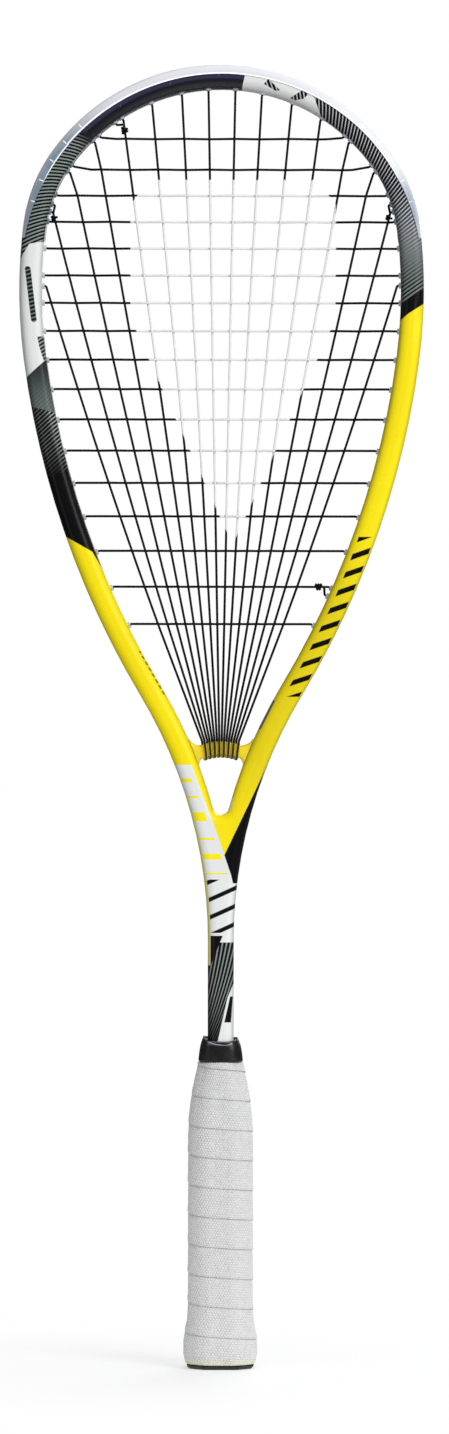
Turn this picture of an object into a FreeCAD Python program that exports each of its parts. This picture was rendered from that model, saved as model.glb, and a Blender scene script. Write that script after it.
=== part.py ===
"""Squash racket: a hollow carbon frame strung with two lengths of string, with a wrapped handle.

Axes: +Z runs up the racket from the butt to the head, X lies across the string bed and Y is the
thickness, with the front at -Y.  The origin is the middle of the flat butt end.  Millimetres.
"""
import FreeCAD, Part
import math
import os
from FreeCAD import Placement, Rotation, Vector

# ---------------------------------------------------------------------------- driving dimensions
SIZES = [
    ("overall_length", 685.3, "butt face to the top of the head guard"),
    ("crown_radius", 109.94, "silhouette arc over the top of the head"),
    ("crown_end", 53.74, "heading in degrees where the crown arc ends; 0 is level, 90 straight down"),
    ("shoulder_radius", 84.02, "next arc, round the shoulder"),
    ("shoulder_end", 82.91, "heading where the shoulder arc ends"),
    ("flank_radius", 278.62, "next arc, past the widest place"),
    ("flank_end", 97.46, "heading where the flank arc ends"),
    ("arm_radius", 460.48, "last outward arc, down the arm"),
    ("arm_end", 120.95, "heading where the arm turns into the concave throat arc"),
    ("hoop_width", 12.0, "width of the hoop's tube, seen from the front"),
    ("beam_depth", 19.0, "thickness of the hoop and shaft, front to back"),
    ("beam_rounding", 5.0, "radius along the hoop's and shaft's edges"),
    ("shaft_width", 13.6, "width of the shaft, seen from the front"),
    ("shaft_foot", 8.0, "height where the shaft tube ends inside the handle"),
    ("throat_rounding", 4.2, "radius at the bottom of the throat opening"),
    ("wall", 1.1, "carbon wall"),
    ("face_wall", 1.7, "carbon wall at the front and back"),
    ("side_wall", 2.4, "carbon wall beside the rounded edges, where the hollow's corners come near"),
    ("groove_width", 5.4, "width of the string groove round the outside of the hoop"),
    ("groove_depth", 3.2, "depth of that groove below the silhouette"),
    ("groove_foot", 372.0, "height where the groove runs out on each arm"),
    ("guard_wall", 1.4, "thickness of the head guard outside the hoop"),
    ("guard_lip", 5.3, "how far the head guard laps over the face at the crown"),
    ("guard_proud", 0.6, "how far the guard's lips stand proud of the face"),
    ("guard_foot", 594.0, "height where the head guard ends on each side"),
    ("strip_thickness", 0.75, "thickness of the grommet strips and of the guard in the groove"),
    ("channel_width", 3.9, "width of the string channel in the guard"),
    ("string_diameter", 1.25, "string"),
    ("barrel_diameter", 3.1, "outside of a grommet barrel"),
    ("bore_diameter", 1.9, "inside of a grommet barrel"),
    ("barrel_stand", 1.2, "how far a barrel stands out inside the hoop"),
    ("gap", 0.08, "play left between pieces that are pressed or bonded together"),
    ("main_inner_pitch", 13.0, "spacing of the three middle gaps of the mains at the fan's top"),
    ("main_outer_pitch", 14.9, "spacing of the other mains there"),
    ("main_pitch_growth", 0.12, "how that spacing widens towards the sides"),
    ("main_foot_pitch", 1.3, "spacing of the mains where they reach the bridge"),
    ("main_foot_shift", -0.3, "sideways offset of the mains at the bridge"),
    ("main_bow", 0.075, "outward bow of a main, per square of its number from the middle"),
    ("fan_top", 641.0, "height of the fan's upper reference line"),
    ("first_cross", 646.5, "height of the first cross string"),
    ("second_cross", 630.3, "height of the second cross string"),
    ("cross_pitch", 13.6, "spacing of the crosses at the head"),
    ("cross_pitch_growth", 6.0, "how much wider that spacing is at the throat"),
    ("bridge_depth", 12.0, "thickness of the throat bridge, front to back"),
    ("bridge_height", 6.5, "height of the throat bridge"),
    ("bridge_top", 329.2, "height of the top of its arch"),
    ("bridge_arch", 30.0, "radius of the top of its arch"),
    ("bridge_rounding", 2.2, "radius along the bridge's edges"),
    ("sleeve_diameter", 1.7, "outside of a string sleeve on the bridge"),
    ("grip_width", 33.7, "width of the wrapped grip"),
    ("grip_depth", 28.5, "depth of the wrapped grip"),
    ("grip_thickness", 1.9, "thickness of the wrapped tape"),
    ("butt_width", 38.4, "widest place, over the flare of the butt cap"),
    ("cap_height", 22.0, "height of the butt cap's skirt"),
    ("collar_foot", 161.4, "height of the rubber collar's lower edge"),
    ("collar_top", 173.5, "height of the rubber collar's upper edge"),
    ("collar_width", 23.4, "width of the collar's lower edge"),
    ("collar_neck", 19.0, "width of the collar's upper edge"),
    ("shaft_play", 0.2, "room between the collar and the shaft, on each side"),
]

MAINS = 16
CROSSES = 17
CROSS_START_MAIN = 5

doc = FreeCAD.newDocument("squash_racket")
sheet = doc.addObject("Spreadsheet::Sheet", "sizes")
for row, (alias, value, meaning) in enumerate(SIZES, start=1):
    sheet.set(f"A{row}", meaning)
    sheet.set(f"B{row}", str(value))
    sheet.setAlias(f"B{row}", alias)
doc.recompute()


def size(alias):
    """Value of one driving dimension."""
    return float(sheet.get(alias))


# ------------------------------------------------------------------------------- the silhouette
# The right half of the silhouette is a chain of tangent arcs from the crown to the shaft.  A
# place on an arc is given by its heading: 0 degrees travels level to the right, 90 straight down.

class SideArc:
    """One arc of the right-hand silhouette.  bulge is 1 for an outward arc, -1 for a concave one."""

    def __init__(self, start, radius, heading, end_heading, bulge):
        self.radius = radius
        self.heading = heading
        self.end_heading = end_heading
        self.bulge = bulge
        self.centre = start - bulge * radius * outward(heading)

    def inset_radius(self, inset):
        return self.radius - self.bulge * inset

    def point(self, heading, inset=0.0):
        return self.centre + self.bulge * self.inset_radius(inset) * outward(heading)

    def length(self):
        return self.radius * abs(self.end_heading - self.heading)

    def sketch_arc(self, inset, mirrored, start=None, end=None):
        """The arc moved inwards by inset, in sketch coordinates."""
        angles = []
        for heading in (self.heading if start is None else start,
                        self.end_heading if end is None else end):
            direction = self.bulge * outward(heading)
            across = -direction.x if mirrored else direction.x
            angles.append(math.atan2(direction.z, across) % (2 * math.pi))
        sweep = (angles[1] - angles[0]) % (2 * math.pi)
        if sweep > math.pi:
            angles.reverse()
        across = -self.centre.x if mirrored else self.centre.x
        circle = Part.Circle(Vector(across, self.centre.z, 0), Vector(0, 0, 1),
                             self.inset_radius(inset))
        if angles[1] < angles[0]:
            angles[1] += 2 * math.pi
        return Part.ArcOfCircle(circle, angles[0], angles[1])


def outward(heading):
    """Unit vector that points out of the racket at a place with this heading."""
    return Vector(math.sin(heading), 0, math.cos(heading))


def side_arcs():
    """The outward arcs of the right half, and the concave throat arc that ends on the shaft."""
    arcs = []
    start = Vector(0, 0, size("overall_length"))
    heading = 0.0
    for part in ("crown", "shoulder", "flank", "arm"):
        end = math.radians(size(part + "_end"))
        arcs.append(SideArc(start, size(part + "_radius"), heading, end, 1))
        start = arcs[-1].point(end)
        heading = end
    throat_radius = (start.x - size("shaft_width") / 2) / (1 - math.sin(heading))
    throat = SideArc(start, throat_radius, heading, math.pi / 2, -1)
    return arcs, throat


ARCS, THROAT = side_arcs()
HALVINGS = 60
TINY = 1e-6
CLEAR = 5.0
PIN_CLEAR = 1.0


def line(start, end):
    return Part.LineSegment(Vector(*start, 0), Vector(*end, 0))


def silhouette(inset, foot):
    """Closed outline of hoop, arms and shaft, moved inwards by inset and cut off at height foot."""
    edges = []
    for mirrored in (False, True):
        edges += [arc.sketch_arc(inset, mirrored) for arc in ARCS + [THROAT]]
    half = size("shaft_width") / 2 - inset
    shoulder = THROAT.centre.z
    edges.append(line((half, shoulder), (half, foot)))
    edges.append(line((half, foot), (-half, foot)))
    edges.append(line((-half, foot), (-half, shoulder)))
    return edges


def opening(inset, rounding):
    """Closed outline of the hoop's opening, parallel to the silhouette and rounded at its foot."""
    reach = THROAT.inset_radius(inset) + rounding
    rise = math.sqrt(reach ** 2 - THROAT.centre.x ** 2)
    low_heading = math.pi / 2 + math.atan2(rise, THROAT.centre.x)
    edges = []
    for mirrored in (False, True):
        edges += [arc.sketch_arc(inset, mirrored) for arc in ARCS]
        edges.append(THROAT.sketch_arc(inset, mirrored, end=low_heading))
    half_turn = math.atan2(THROAT.centre.x, rise)
    foot_circle = Part.Circle(Vector(0, THROAT.centre.z + rise, 0), Vector(0, 0, 1), rounding)
    edges.append(Part.ArcOfCircle(foot_circle, -math.pi / 2 - half_turn, -math.pi / 2 + half_turn))
    return edges


def side_arc_at(heading):
    for arc in ARCS:
        if heading <= arc.end_heading:
            return arc
    return ARCS[-1]


def side_point(heading, inset):
    return side_arc_at(heading).point(heading, inset)


def heading_at_height(height):
    """Heading of the right silhouette where it passes this height."""
    low = 0.0
    high = ARCS[-1].end_heading
    for _ in range(HALVINGS):
        middle = (low + high) / 2
        if side_point(middle, 0).z > height:
            low = middle
        else:
            high = middle
    return low


def arcs_between(start, end, inset, mirrored):
    """Silhouette arcs, moved inwards by inset, between two headings on one side."""
    edges = []
    for arc in ARCS:
        first = max(start, arc.heading)
        last = min(end, arc.end_heading)
        if last - first > TINY:
            edges.append(arc.sketch_arc(inset, mirrored, first, last))
    return edges


def flank_band(top, foot, outer, inner, mirrored):
    """Closed band along one side between two heights, as thick as the two insets leave."""
    top_heading = heading_at_height(top)
    foot_heading = heading_at_height(foot)
    edges = arcs_between(top_heading, foot_heading, outer, mirrored)
    edges += arcs_between(top_heading, foot_heading, inner, mirrored)
    sign = -1 if mirrored else 1
    for heading in (top_heading, foot_heading):
        a = side_point(heading, outer)
        b = side_point(heading, inner)
        edges.append(line((sign * a.x, a.z), (sign * b.x, b.z)))
    return edges


def crown_band(foot, outer, inner):
    """Closed band over the head, from one side's foot height round to the other's."""
    heading = heading_at_height(foot)
    edges = []
    for mirrored in (False, True):
        edges += arcs_between(0.0, heading, outer, mirrored)
        edges += arcs_between(0.0, heading, inner, mirrored)
        sign = -1 if mirrored else 1
        a = side_point(heading, outer)
        b = side_point(heading, inner)
        edges.append(line((sign * a.x, a.z), (sign * b.x, b.z)))
    return edges


# ---------------------------------------------------------------------------- building helpers

def new_body(name):
    return doc.addObject("PartDesign::Body", name)


def origin_plane(body, role):
    return next(item for item in body.Origin.OriginFeatures if item.Role == role)


def sketch(body, name, role, geometry, offset=0.0):
    """Sketch on one of the body's origin planes."""
    item = body.newObject("Sketcher::SketchObject", name)
    item.AttachmentSupport = [(origin_plane(body, role), "")]
    item.MapMode = "FlatFace"
    item.AttachmentOffset = Placement(Vector(0, 0, offset), Rotation())
    item.addGeometry(geometry, False)
    return item


def pad(body, profile, name, length):
    """Pad both ways from the XZ plane; length is an expression in sheet cells."""
    item = body.newObject("PartDesign::Pad", name)
    item.Profile = profile
    item.Midplane = True
    item.setExpression("Length", length)
    return item


def pocket(body, profile, name, length):
    """Pocket both ways from the XZ plane."""
    item = body.newObject("PartDesign::Pocket", name)
    item.Profile = profile
    item.Midplane = True
    item.setExpression("Length", length)
    return item


def cut(name, base, tool):
    item = doc.addObject("Part::Cut", name)
    item.Base = base
    item.Tool = tool
    return item


def feature(name, shape):
    item = doc.addObject("Part::Feature", name)
    item.Shape = shape
    item.Placement = Placement()
    return item


CORNER_SHARE = 0.45
STRAIGHT = 1e-4


def rounded_wire(points, radii):
    """Wire through the points, with each inner corner rounded by its radius."""
    edges = []
    start = points[0]
    for index in range(1, len(points) - 1):
        corner = points[index]
        back = points[index - 1] - corner
        ahead = points[index + 1] - corner
        room = CORNER_SHARE * min(back.Length, ahead.Length)
        back.normalize()
        ahead.normalize()
        turn = math.pi - back.getAngle(ahead)
        if turn < STRAIGHT:
            continue
        reach = min(radii[index] * math.tan(turn / 2), room)
        radius = reach / math.tan(turn / 2)
        towards = (back + ahead).normalize()
        first = corner + back * reach
        last = corner + ahead * reach
        middle = corner + towards * (radius / math.cos(turn / 2) - radius)
        edges.append(Part.LineSegment(start, first).toShape())
        edges.append(Part.Arc(first, middle, last).toShape())
        start = last
    edges.append(Part.LineSegment(start, points[-1]).toShape())
    return Part.Wire(edges)


def round_bar(points, radii, diameter):
    """Solid bar of round section along a rounded wire."""
    path = rounded_wire(points, radii)
    section = Part.Circle(points[0], points[1] - points[0], diameter / 2)
    return path.makePipe(Part.Face(Part.Wire(section.toShape())))


def face_edges(shape, lowest):
    """Names of the edges that lie in the front and back faces, above a height."""
    names = []
    for index, edge in enumerate(shape.Edges, start=1):
        box = edge.BoundBox
        flat = box.YLength < TINY
        at_face = abs(abs(box.YMin) - shape.BoundBox.YMax) < TINY
        if flat and at_face and box.ZMax > lowest:
            names.append(f"Edge{index}")
    return names


def round_faces(body, base, name, radius, lowest=-1.0):
    """Fillet along the edges of the front and back faces."""
    doc.recompute()
    item = body.newObject("PartDesign::Fillet", name)
    item.Base = (base, face_edges(base.Shape, lowest))
    item.setExpression("Radius", radius)
    return item


# -------------------------------------------------------------------------------- string layout

STRING_RADIUS = size("string_diameter") / 2
WEAVE_MAIN = 0.25
WEAVE_CROSS = 1.08
CROSSING_FLAT = 0.75
WIDE_SPACING = 7.6
WIDE_WEAVE_CROSS = 1.2
WIDE_BEND = 4.0
BEND = 0.9
BED_BEND = 2.0
MAIN_BEND = 8.0
LEVEL_LEAD = 5.0
MAIN_REACH = 1.5
MOUTH_ROOM = 0.8
MOUTH_INSET = size("hoop_width") + size("barrel_stand") + MOUTH_ROOM
CHANNEL_PLAY = 0.15
CHANNEL_INSET = size("groove_depth") - size("strip_thickness") - STRING_RADIUS - CHANNEL_PLAY
LANE_PLAY = 0.03
SIDE_LANE = size("channel_width") / 2 - STRING_RADIUS - LANE_PLAY
HOLE_GAP = 1.7
HOLE_SPACING = size("barrel_diameter") + HOLE_GAP
LANE_LEAD = 2.6
LANE_STEP = 4.0
CLIMB = size("string_diameter") + 0.05
CLIMB_LEAD = 1.0
CLIMB_LANE = 0.8


def main_number(index):
    """Signed number of a main from the middle of the bed: -7.5 to 7.5."""
    return index - (MAINS + 1) / 2


def main_x(index, height):
    """Sideways place of a main at a height."""
    number = main_number(index)
    side = math.copysign(1.0, number)
    extra = max(abs(number) - 1.5, 0.0)
    spread = size("main_inner_pitch") * min(abs(number), 1.5)
    spread += size("main_outer_pitch") * extra + size("main_pitch_growth") * extra ** 2
    foot = size("main_foot_pitch") * number + size("main_foot_shift")
    rise = (height - size("bridge_top")) / (size("fan_top") - size("bridge_top"))
    bow = size("main_bow") * number ** 2 * 4 * rise * (1 - rise)
    return foot + (side * spread - foot) * rise + side * bow


def cross_heights():
    heights = [size("first_cross"), size("second_cross")]
    for index in range(2, CROSSES):
        share = index / (CROSSES - 1)
        heights.append(heights[-1] - size("cross_pitch") - size("cross_pitch_growth") * share ** 2)
    return heights


CROSS_Z = cross_heights()


def hoop_place(x, z):
    """Heading and inset of a place inside the hoop, near its tube; the side doesn't matter."""
    for arc in ARCS:
        across = Vector(abs(x), 0, z) - arc.centre
        heading = math.atan2(across.x, across.z)
        if heading <= arc.end_heading:
            return heading, arc.radius - across.Length
    return heading, arc.radius - across.Length


def run_along(heading):
    """Distance along the silhouette from the crown to a heading."""
    total = 0.0
    for arc in ARCS:
        total += arc.radius * (min(max(heading, arc.heading), arc.end_heading) - arc.heading)
    return total


def heading_at(run):
    for arc in ARCS:
        if run <= arc.length():
            return arc.heading + run / arc.radius
        run -= arc.length()
    return ARCS[-1].end_heading


def crossing_heading(place, low, high):
    """Heading where a string, place(t), reaches the barrel mouths between t = low and high."""
    for _ in range(HALVINGS):
        middle = (low + high) / 2
        if hoop_place(*place(middle))[1] > MOUTH_INSET:
            low = middle
        else:
            high = middle
    return hoop_place(*place(low))[0]


MAIN_SEARCH = (500.0, 690.0)
CROSS_SEARCH = (20.0, 110.0)
SPREAD_ROUNDS = 200


def lay_out_holes():
    """Every string hole as name: signed distance round the silhouette, plus for the right side."""
    holes = {}
    for index in range(1, MAINS + 1):
        heading = crossing_heading(lambda z, i=index: (main_x(i, z), z), *MAIN_SEARCH)
        side = math.copysign(1.0, main_number(index))
        holes[("main", index)] = side * run_along(heading)
    for index, height in enumerate(CROSS_Z, start=1):
        heading = crossing_heading(lambda x, z=height: (x, z), *CROSS_SEARCH)
        holes[("cross", index, -1)] = -run_along(heading)
        holes[("cross", index, 1)] = run_along(heading)
    holes[("tie", "main", -1)] = holes[("main", 2)] + HOLE_SPACING
    holes[("tie", "main", 1)] = holes[("main", MAINS - 1)] - HOLE_SPACING
    holes[("tie", "cross", -1)] = holes[("main", CROSS_START_MAIN)] - HOLE_SPACING
    holes[("tie", "cross", 1)] = holes[("cross", CROSSES - 1, 1)] + HOLE_SPACING
    return spread_out(holes)


def spread_out(holes):
    """Move holes that are too close together apart by the least amount."""
    names = sorted(holes, key=holes.get)
    for _ in range(SPREAD_ROUNDS):
        for first, second in zip(names, names[1:]):
            missing = HOLE_SPACING - (holes[second] - holes[first])
            if missing > 0:
                holes[first] -= missing / 2
                holes[second] += missing / 2
    return holes


HOLES = lay_out_holes()


def hole_point(run, inset, depth=0.0):
    point = side_point(heading_at(abs(run)), inset)
    return Vector(math.copysign(point.x, run), depth, point.z)


def hole_axis(run):
    """Unit vector outwards along a string hole."""
    axis = outward(heading_at(abs(run)))
    return Vector(math.copysign(axis.x, run), 0, axis.z)


def hole_pins(radius, inner_inset, outer_inset, runs):
    """Cylinders along the string holes between two insets."""
    pins = []
    for run in runs:
        start = hole_point(run, inner_inset)
        pins.append(Part.makeCylinder(radius, inner_inset - outer_inset, start, hole_axis(run)))
    return pins


GUARD_HEADING = heading_at_height(size("guard_foot"))
GUARD_RUN = run_along(GUARD_HEADING)
ALL_RUNS = sorted(HOLES.values())
GUARD_END_ROOM = 2.0
HEAD_RUNS = [run for run in ALL_RUNS if abs(run) < GUARD_RUN - GUARD_END_ROOM]
LEFT_RUNS = [run for run in ALL_RUNS if run < 0 and run not in HEAD_RUNS]
RIGHT_RUNS = [run for run in ALL_RUNS if run > 0 and run not in HEAD_RUNS]


# ------------------------------------------------------------------------------ carbon frame

SHAFT_HOLLOW_RISE = 55.0


def shaft_hollow(inset, top, foot):
    """Outline of the hollow in the shaft and the throat's lower part."""
    heading = math.acos((THROAT.centre.z - top) / THROAT.inset_radius(inset))
    half = size("shaft_width") / 2 - inset
    corner = THROAT.point(heading, inset)
    shoulder = THROAT.centre.z
    return [
        THROAT.sketch_arc(inset, False, start=heading),
        THROAT.sketch_arc(inset, True, start=heading),
        line((half, shoulder), (half, foot)),
        line((half, foot), (-half, foot)),
        line((-half, foot), (-half, shoulder)),
        line((-corner.x, corner.z), (corner.x, corner.z)),
    ]


def make_frame():
    """Hoop, arms and shaft: one hollow moulding with a string groove and string holes."""
    body = new_body("frame_tube")
    wall = size("wall")
    foot = size("shaft_foot")
    rounding = size("throat_rounding")
    outline = sketch(body, "frame_outline", "XZ_Plane",
                     silhouette(0, foot) + opening(size("hoop_width"), rounding))
    solid = pad(body, outline, "frame_pad", "sizes.beam_depth")
    round_faces(body, solid, "frame_rounding", "sizes.beam_rounding", foot + PIN_CLEAR)
    seat = sketch(body, "guard_seat", "XZ_Plane",
                  crown_band(size("guard_foot"), -CLEAR, size("guard_wall")))
    pocket(body, seat, "guard_seat_cut", "sizes.beam_depth + 2")
    groove = sketch(body, "string_groove", "XZ_Plane",
                    crown_band(size("groove_foot"), -CLEAR, size("groove_depth")))
    pocket(body, groove, "string_groove_cut", "sizes.groove_width")
    hoop_hollow = sketch(body, "hoop_hollow", "XZ_Plane",
                         silhouette(size("groove_depth") + wall, THROAT.centre.z - 2 * CLEAR)
                         + opening(size("hoop_width") - size("side_wall"), rounding + wall))
    pocket(body, hoop_hollow, "hoop_hollow_cut", "sizes.beam_depth - 2 * sizes.face_wall")
    throat_floor = THROAT.centre.z + SHAFT_HOLLOW_RISE
    shaft = sketch(body, "shaft_hollow", "XZ_Plane",
                   shaft_hollow(size("side_wall"), throat_floor, foot - CLEAR))
    last = pocket(body, shaft, "shaft_hollow_cut", "sizes.beam_depth - 2 * sizes.face_wall")
    body.Tip = last
    pins = hole_pins(size("barrel_diameter") / 2 + size("gap"),
                     size("hoop_width") + PIN_CLEAR, -PIN_CLEAR, ALL_RUNS)
    holes = feature("frame_hole_pins", Part.makeCompound(pins))
    return cut("frame_moulding", body, holes)


# -------------------------------------------------------------------------------- throat bridge

TOP_FLARE = {"start": 9.0, "radius": 6.5, "turn": 80.0}
LOW_FLARE = {"start": 9.3, "radius": 3.6, "turn": 75.0}
BAR_REACH = 24.0


def arch_height(x, radius):
    """Height of an arch line of the bridge at a sideways place."""
    return size("bridge_top") - size("bridge_arch") + math.sqrt(radius ** 2 - x ** 2)


def arch_edges(radius, flare, upward):
    """One long edge of the bar: its arch, with a flare that curves away at each end, then level."""
    centre = Vector(0, size("bridge_top") - size("bridge_arch"), 0)
    leave = Vector(flare["start"], arch_height(flare["start"], radius), 0)
    lean = math.atan2(flare["start"], leave.y - centre.y)
    edges = [Part.ArcOfCircle(Part.Circle(centre, Vector(0, 0, 1), radius),
                              math.pi / 2 - lean, math.pi / 2 + lean)]
    away = Vector(math.sin(lean), math.cos(lean), 0) * upward
    hub = leave + away * flare["radius"]
    places = [leave]
    for share in (0.5, 1.0):
        turned = math.radians(flare["turn"] * share) * upward - lean
        spoke = Vector(math.sin(turned), -math.cos(turned), 0) * upward
        places.append(hub + spoke * flare["radius"])
    places.append(Vector(BAR_REACH, places[-1].y, 0))
    for side in (-1, 1):
        start, middle, end, tip = [Vector(side * place.x, place.y, 0) for place in places]
        edges.append(Part.Arc(start, middle, end))
        edges.append(Part.LineSegment(end, tip))
    return edges, places[-1].y


def make_bridge():
    """Arched bar between the arms, with ends that flare into them."""
    bar = new_body("bridge_bar")
    top_radius = size("bridge_arch")
    low_radius = top_radius - size("bridge_height")
    top_edges, top_height = arch_edges(top_radius, TOP_FLARE, 1)
    low_edges, low_height = arch_edges(low_radius, LOW_FLARE, -1)
    ends = [line((side * BAR_REACH, top_height), (side * BAR_REACH, low_height)) for side in (-1, 1)]
    outline = sketch(bar, "bridge_outline", "XZ_Plane", top_edges + low_edges + ends)
    solid = pad(bar, outline, "bridge_pad", "sizes.bridge_depth")
    doc.recompute()
    names = []
    for index, edge in enumerate(solid.Shape.Edges, start=1):
        middle = edge.valueAt((edge.FirstParameter + edge.LastParameter) / 2)
        if edge.BoundBox.YLength < TINY and abs(middle.x) < BAR_REACH - 1:
            names.append(f"Edge{index}")
    rounded = bar.newObject("PartDesign::Fillet", "bridge_fillet")
    rounded.Base = (solid, names)
    rounded.setExpression("Radius", "sizes.bridge_rounding")
    bar.Tip = rounded
    core = new_body("throat_space")
    space = sketch(core, "throat_space_outline", "XZ_Plane",
                   opening(size("hoop_width") + size("gap"), size("throat_rounding")))
    core.Tip = pad(core, space, "throat_space_pad", "sizes.beam_depth")
    trimmed = doc.addObject("Part::Common", "throat_bridge")
    trimmed.Base = bar
    trimmed.Tool = core
    return trimmed


# ------------------------------------------------------------------- head guard, grommet strips

STRIP_INSET = size("groove_depth") - size("gap") - size("strip_thickness")
BARREL_INSET = size("hoop_width") + size("barrel_stand")
BARREL_LAP = 0.2
INSET_SLACK = 0.05


def outer_edges(shape, inset):
    """Names of the face edges that follow the silhouette at an inset."""
    names = []
    for index, edge in enumerate(shape.Edges, start=1):
        middle = edge.valueAt((edge.FirstParameter + edge.LastParameter) / 2)
        along = edge.BoundBox.YLength < TINY
        if along and abs(hoop_place(middle.x, middle.z)[1] - inset) < INSET_SLACK:
            names.append(f"Edge{index}")
    return names


def crown_body(name, foot, outer, inner, depth, rounded=False, trim=None):
    """Band over the head as a body of its own.

    Its outer edges are rounded if asked, and then trimmed back to the inset trim if one is given.
    """
    body = new_body(name)
    outline = sketch(body, name + "_outline", "XZ_Plane", crown_band(foot, outer, inner))
    solid = pad(body, outline, name + "_pad", depth)
    body.Tip = solid
    if rounded:
        doc.recompute()
        fillet = body.newObject("PartDesign::Fillet", name + "_fillet")
        fillet.Base = (solid, outer_edges(solid.Shape, outer))
        fillet.setExpression("Radius", "sizes.beam_rounding")
        body.Tip = fillet
    if trim is not None:
        rim = sketch(body, name + "_rim", "XZ_Plane", crown_band(foot - PIN_CLEAR, outer - CLEAR, trim))
        body.Tip = pocket(body, rim, name + "_trim", "sizes.beam_depth + 5")
    return body


def with_barrels(name, base, runs):
    """Strip or guard with a grommet barrel at each string hole, bored through."""
    barrels = hole_pins(size("barrel_diameter") / 2, BARREL_INSET, STRIP_INSET + BARREL_LAP, runs)
    bores = hole_pins(size("bore_diameter") / 2,
                      BARREL_INSET + PIN_CLEAR, STRIP_INSET - PIN_CLEAR, runs)
    pins = feature(name + "_barrel_pins", Part.makeCompound(barrels))
    joined = doc.addObject("Part::Fuse", name + "_with_barrels")
    joined.Base = base
    joined.Tool = pins
    return cut(name, joined, feature(name + "_bores", Part.makeCompound(bores)))


LIP_POINT = 0.2


def make_guard():
    """Clear guard that laps over the head, with a string channel and its own grommet barrels."""
    foot = size("guard_foot") + size("gap")
    wall = size("guard_wall")
    gap = size("gap")
    shell = crown_body("guard_shell", foot, 0, size("hoop_width"),
                       "sizes.beam_depth + 2 * sizes.guard_proud", True)
    core = crown_body("guard_core", foot - CLEAR, -gap, size("hoop_width") + CLEAR,
                      "sizes.beam_depth + 2 * sizes.gap", True, wall - gap)
    key = crown_body("guard_key", foot, wall - 2 * gap, size("groove_depth") - gap,
                     "sizes.groove_width - 2 * sizes.gap")
    channel = crown_body("guard_channel", foot - CLEAR, -CLEAR, STRIP_INSET, "sizes.channel_width")
    hollow = cut("guard_hollow", shell, core)
    end = side_point(GUARD_HEADING, wall + LIP_POINT)
    drop = size("overall_length") - size("guard_lip") - end.z
    lip_radius = (end.x ** 2 + drop ** 2) / (2 * drop)
    taper = doc.addObject("Part::Cylinder", "guard_taper")
    taper.Radius = lip_radius
    taper.setExpression("Height", "sizes.beam_depth + 10")
    centre_height = size("overall_length") - size("guard_lip") - lip_radius
    taper.Placement = Placement(Vector(0, taper.Height.Value / 2, centre_height),
                                Rotation(Vector(1, 0, 0), 90))
    lipped = cut("guard_lips", hollow, taper)
    keyed = doc.addObject("Part::Fuse", "guard_with_key")
    keyed.Base = lipped
    keyed.Tool = key
    channelled = cut("guard_channelled", keyed, channel)
    return with_barrels("bumper_guard", channelled, HEAD_RUNS)


STRIP_START = 1.0
STRIP_END = 2.0


def make_strip(name, mirrored, runs):
    """Flat strip in the groove of one flank, with its grommet barrels."""
    body = new_body(name + "_band")
    top = size("guard_foot") - STRIP_START
    outline = sketch(body, name + "_outline", "XZ_Plane",
                     flank_band(top, size("groove_foot") + STRIP_END, STRIP_INSET,
                                size("groove_depth") - size("gap"), mirrored))
    body.Tip = pad(body, outline, name + "_pad", "sizes.groove_width - 4 * sizes.gap")
    return with_barrels(name, body, runs)


# -------------------------------------------------------------------------------------- strings

def weave_sign(main, cross):
    return 1 if (main + cross) % 2 == 0 else -1


def mouth(name, depth=0.0):
    return hole_point(HOLES[name], MOUTH_INSET, depth)


def mains_at(cross):
    """The mains that a cross meets, from left to right."""
    height = CROSS_Z[cross - 1]
    return [index for index in range(1, MAINS + 1) if mouth(("main", index)).z > height + MAIN_REACH]


def main_run(index):
    """Points down one main, from the mouth of its hole to its last crossing, with bend radii."""
    points = [(mouth(("main", index)), BEND)]
    for cross in range(1, CROSSES + 1):
        if index in mains_at(cross):
            height = CROSS_Z[cross - 1]
            depth = WEAVE_MAIN * weave_sign(index, cross)
            points.append((Vector(main_x(index, height), depth, height), MAIN_BEND))
    return points


def cross_run(index):
    """Points along one cross from its left hole to its right hole, with bend radii.

    Over a main the cross bends once where there is room beside it, and twice where there isn't.
    """
    height = CROSS_Z[index - 1]
    left = mouth(("cross", index, -1))
    right = mouth(("cross", index, 1))
    mains = mains_at(index)
    places = [left.x] + [main_x(main, height) for main in mains] + [right.x]
    points = []
    for number, main in enumerate(mains, start=1):
        x = places[number]
        sign = -weave_sign(main, index)
        if min(x - places[number - 1], places[number + 1] - x) > WIDE_SPACING:
            points.append((Vector(x, sign * WIDE_WEAVE_CROSS, height), WIDE_BEND))
        else:
            points.append((Vector(x - CROSSING_FLAT, sign * WEAVE_CROSS, height), BEND))
            points.append((Vector(x + CROSSING_FLAT, sign * WEAVE_CROSS, height), BEND))
    first = points[0][0]
    last = points[-1][0]
    if first.x - left.x > 2 * LEVEL_LEAD:
        points.insert(0, (Vector(first.x - LEVEL_LEAD, 0, height), BED_BEND))
    if right.x - last.x > 2 * LEVEL_LEAD:
        points.append((Vector(last.x + LEVEL_LEAD, 0, height), BED_BEND))
    return [(left, BED_BEND)] + points + [(right, BED_BEND)]


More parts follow.
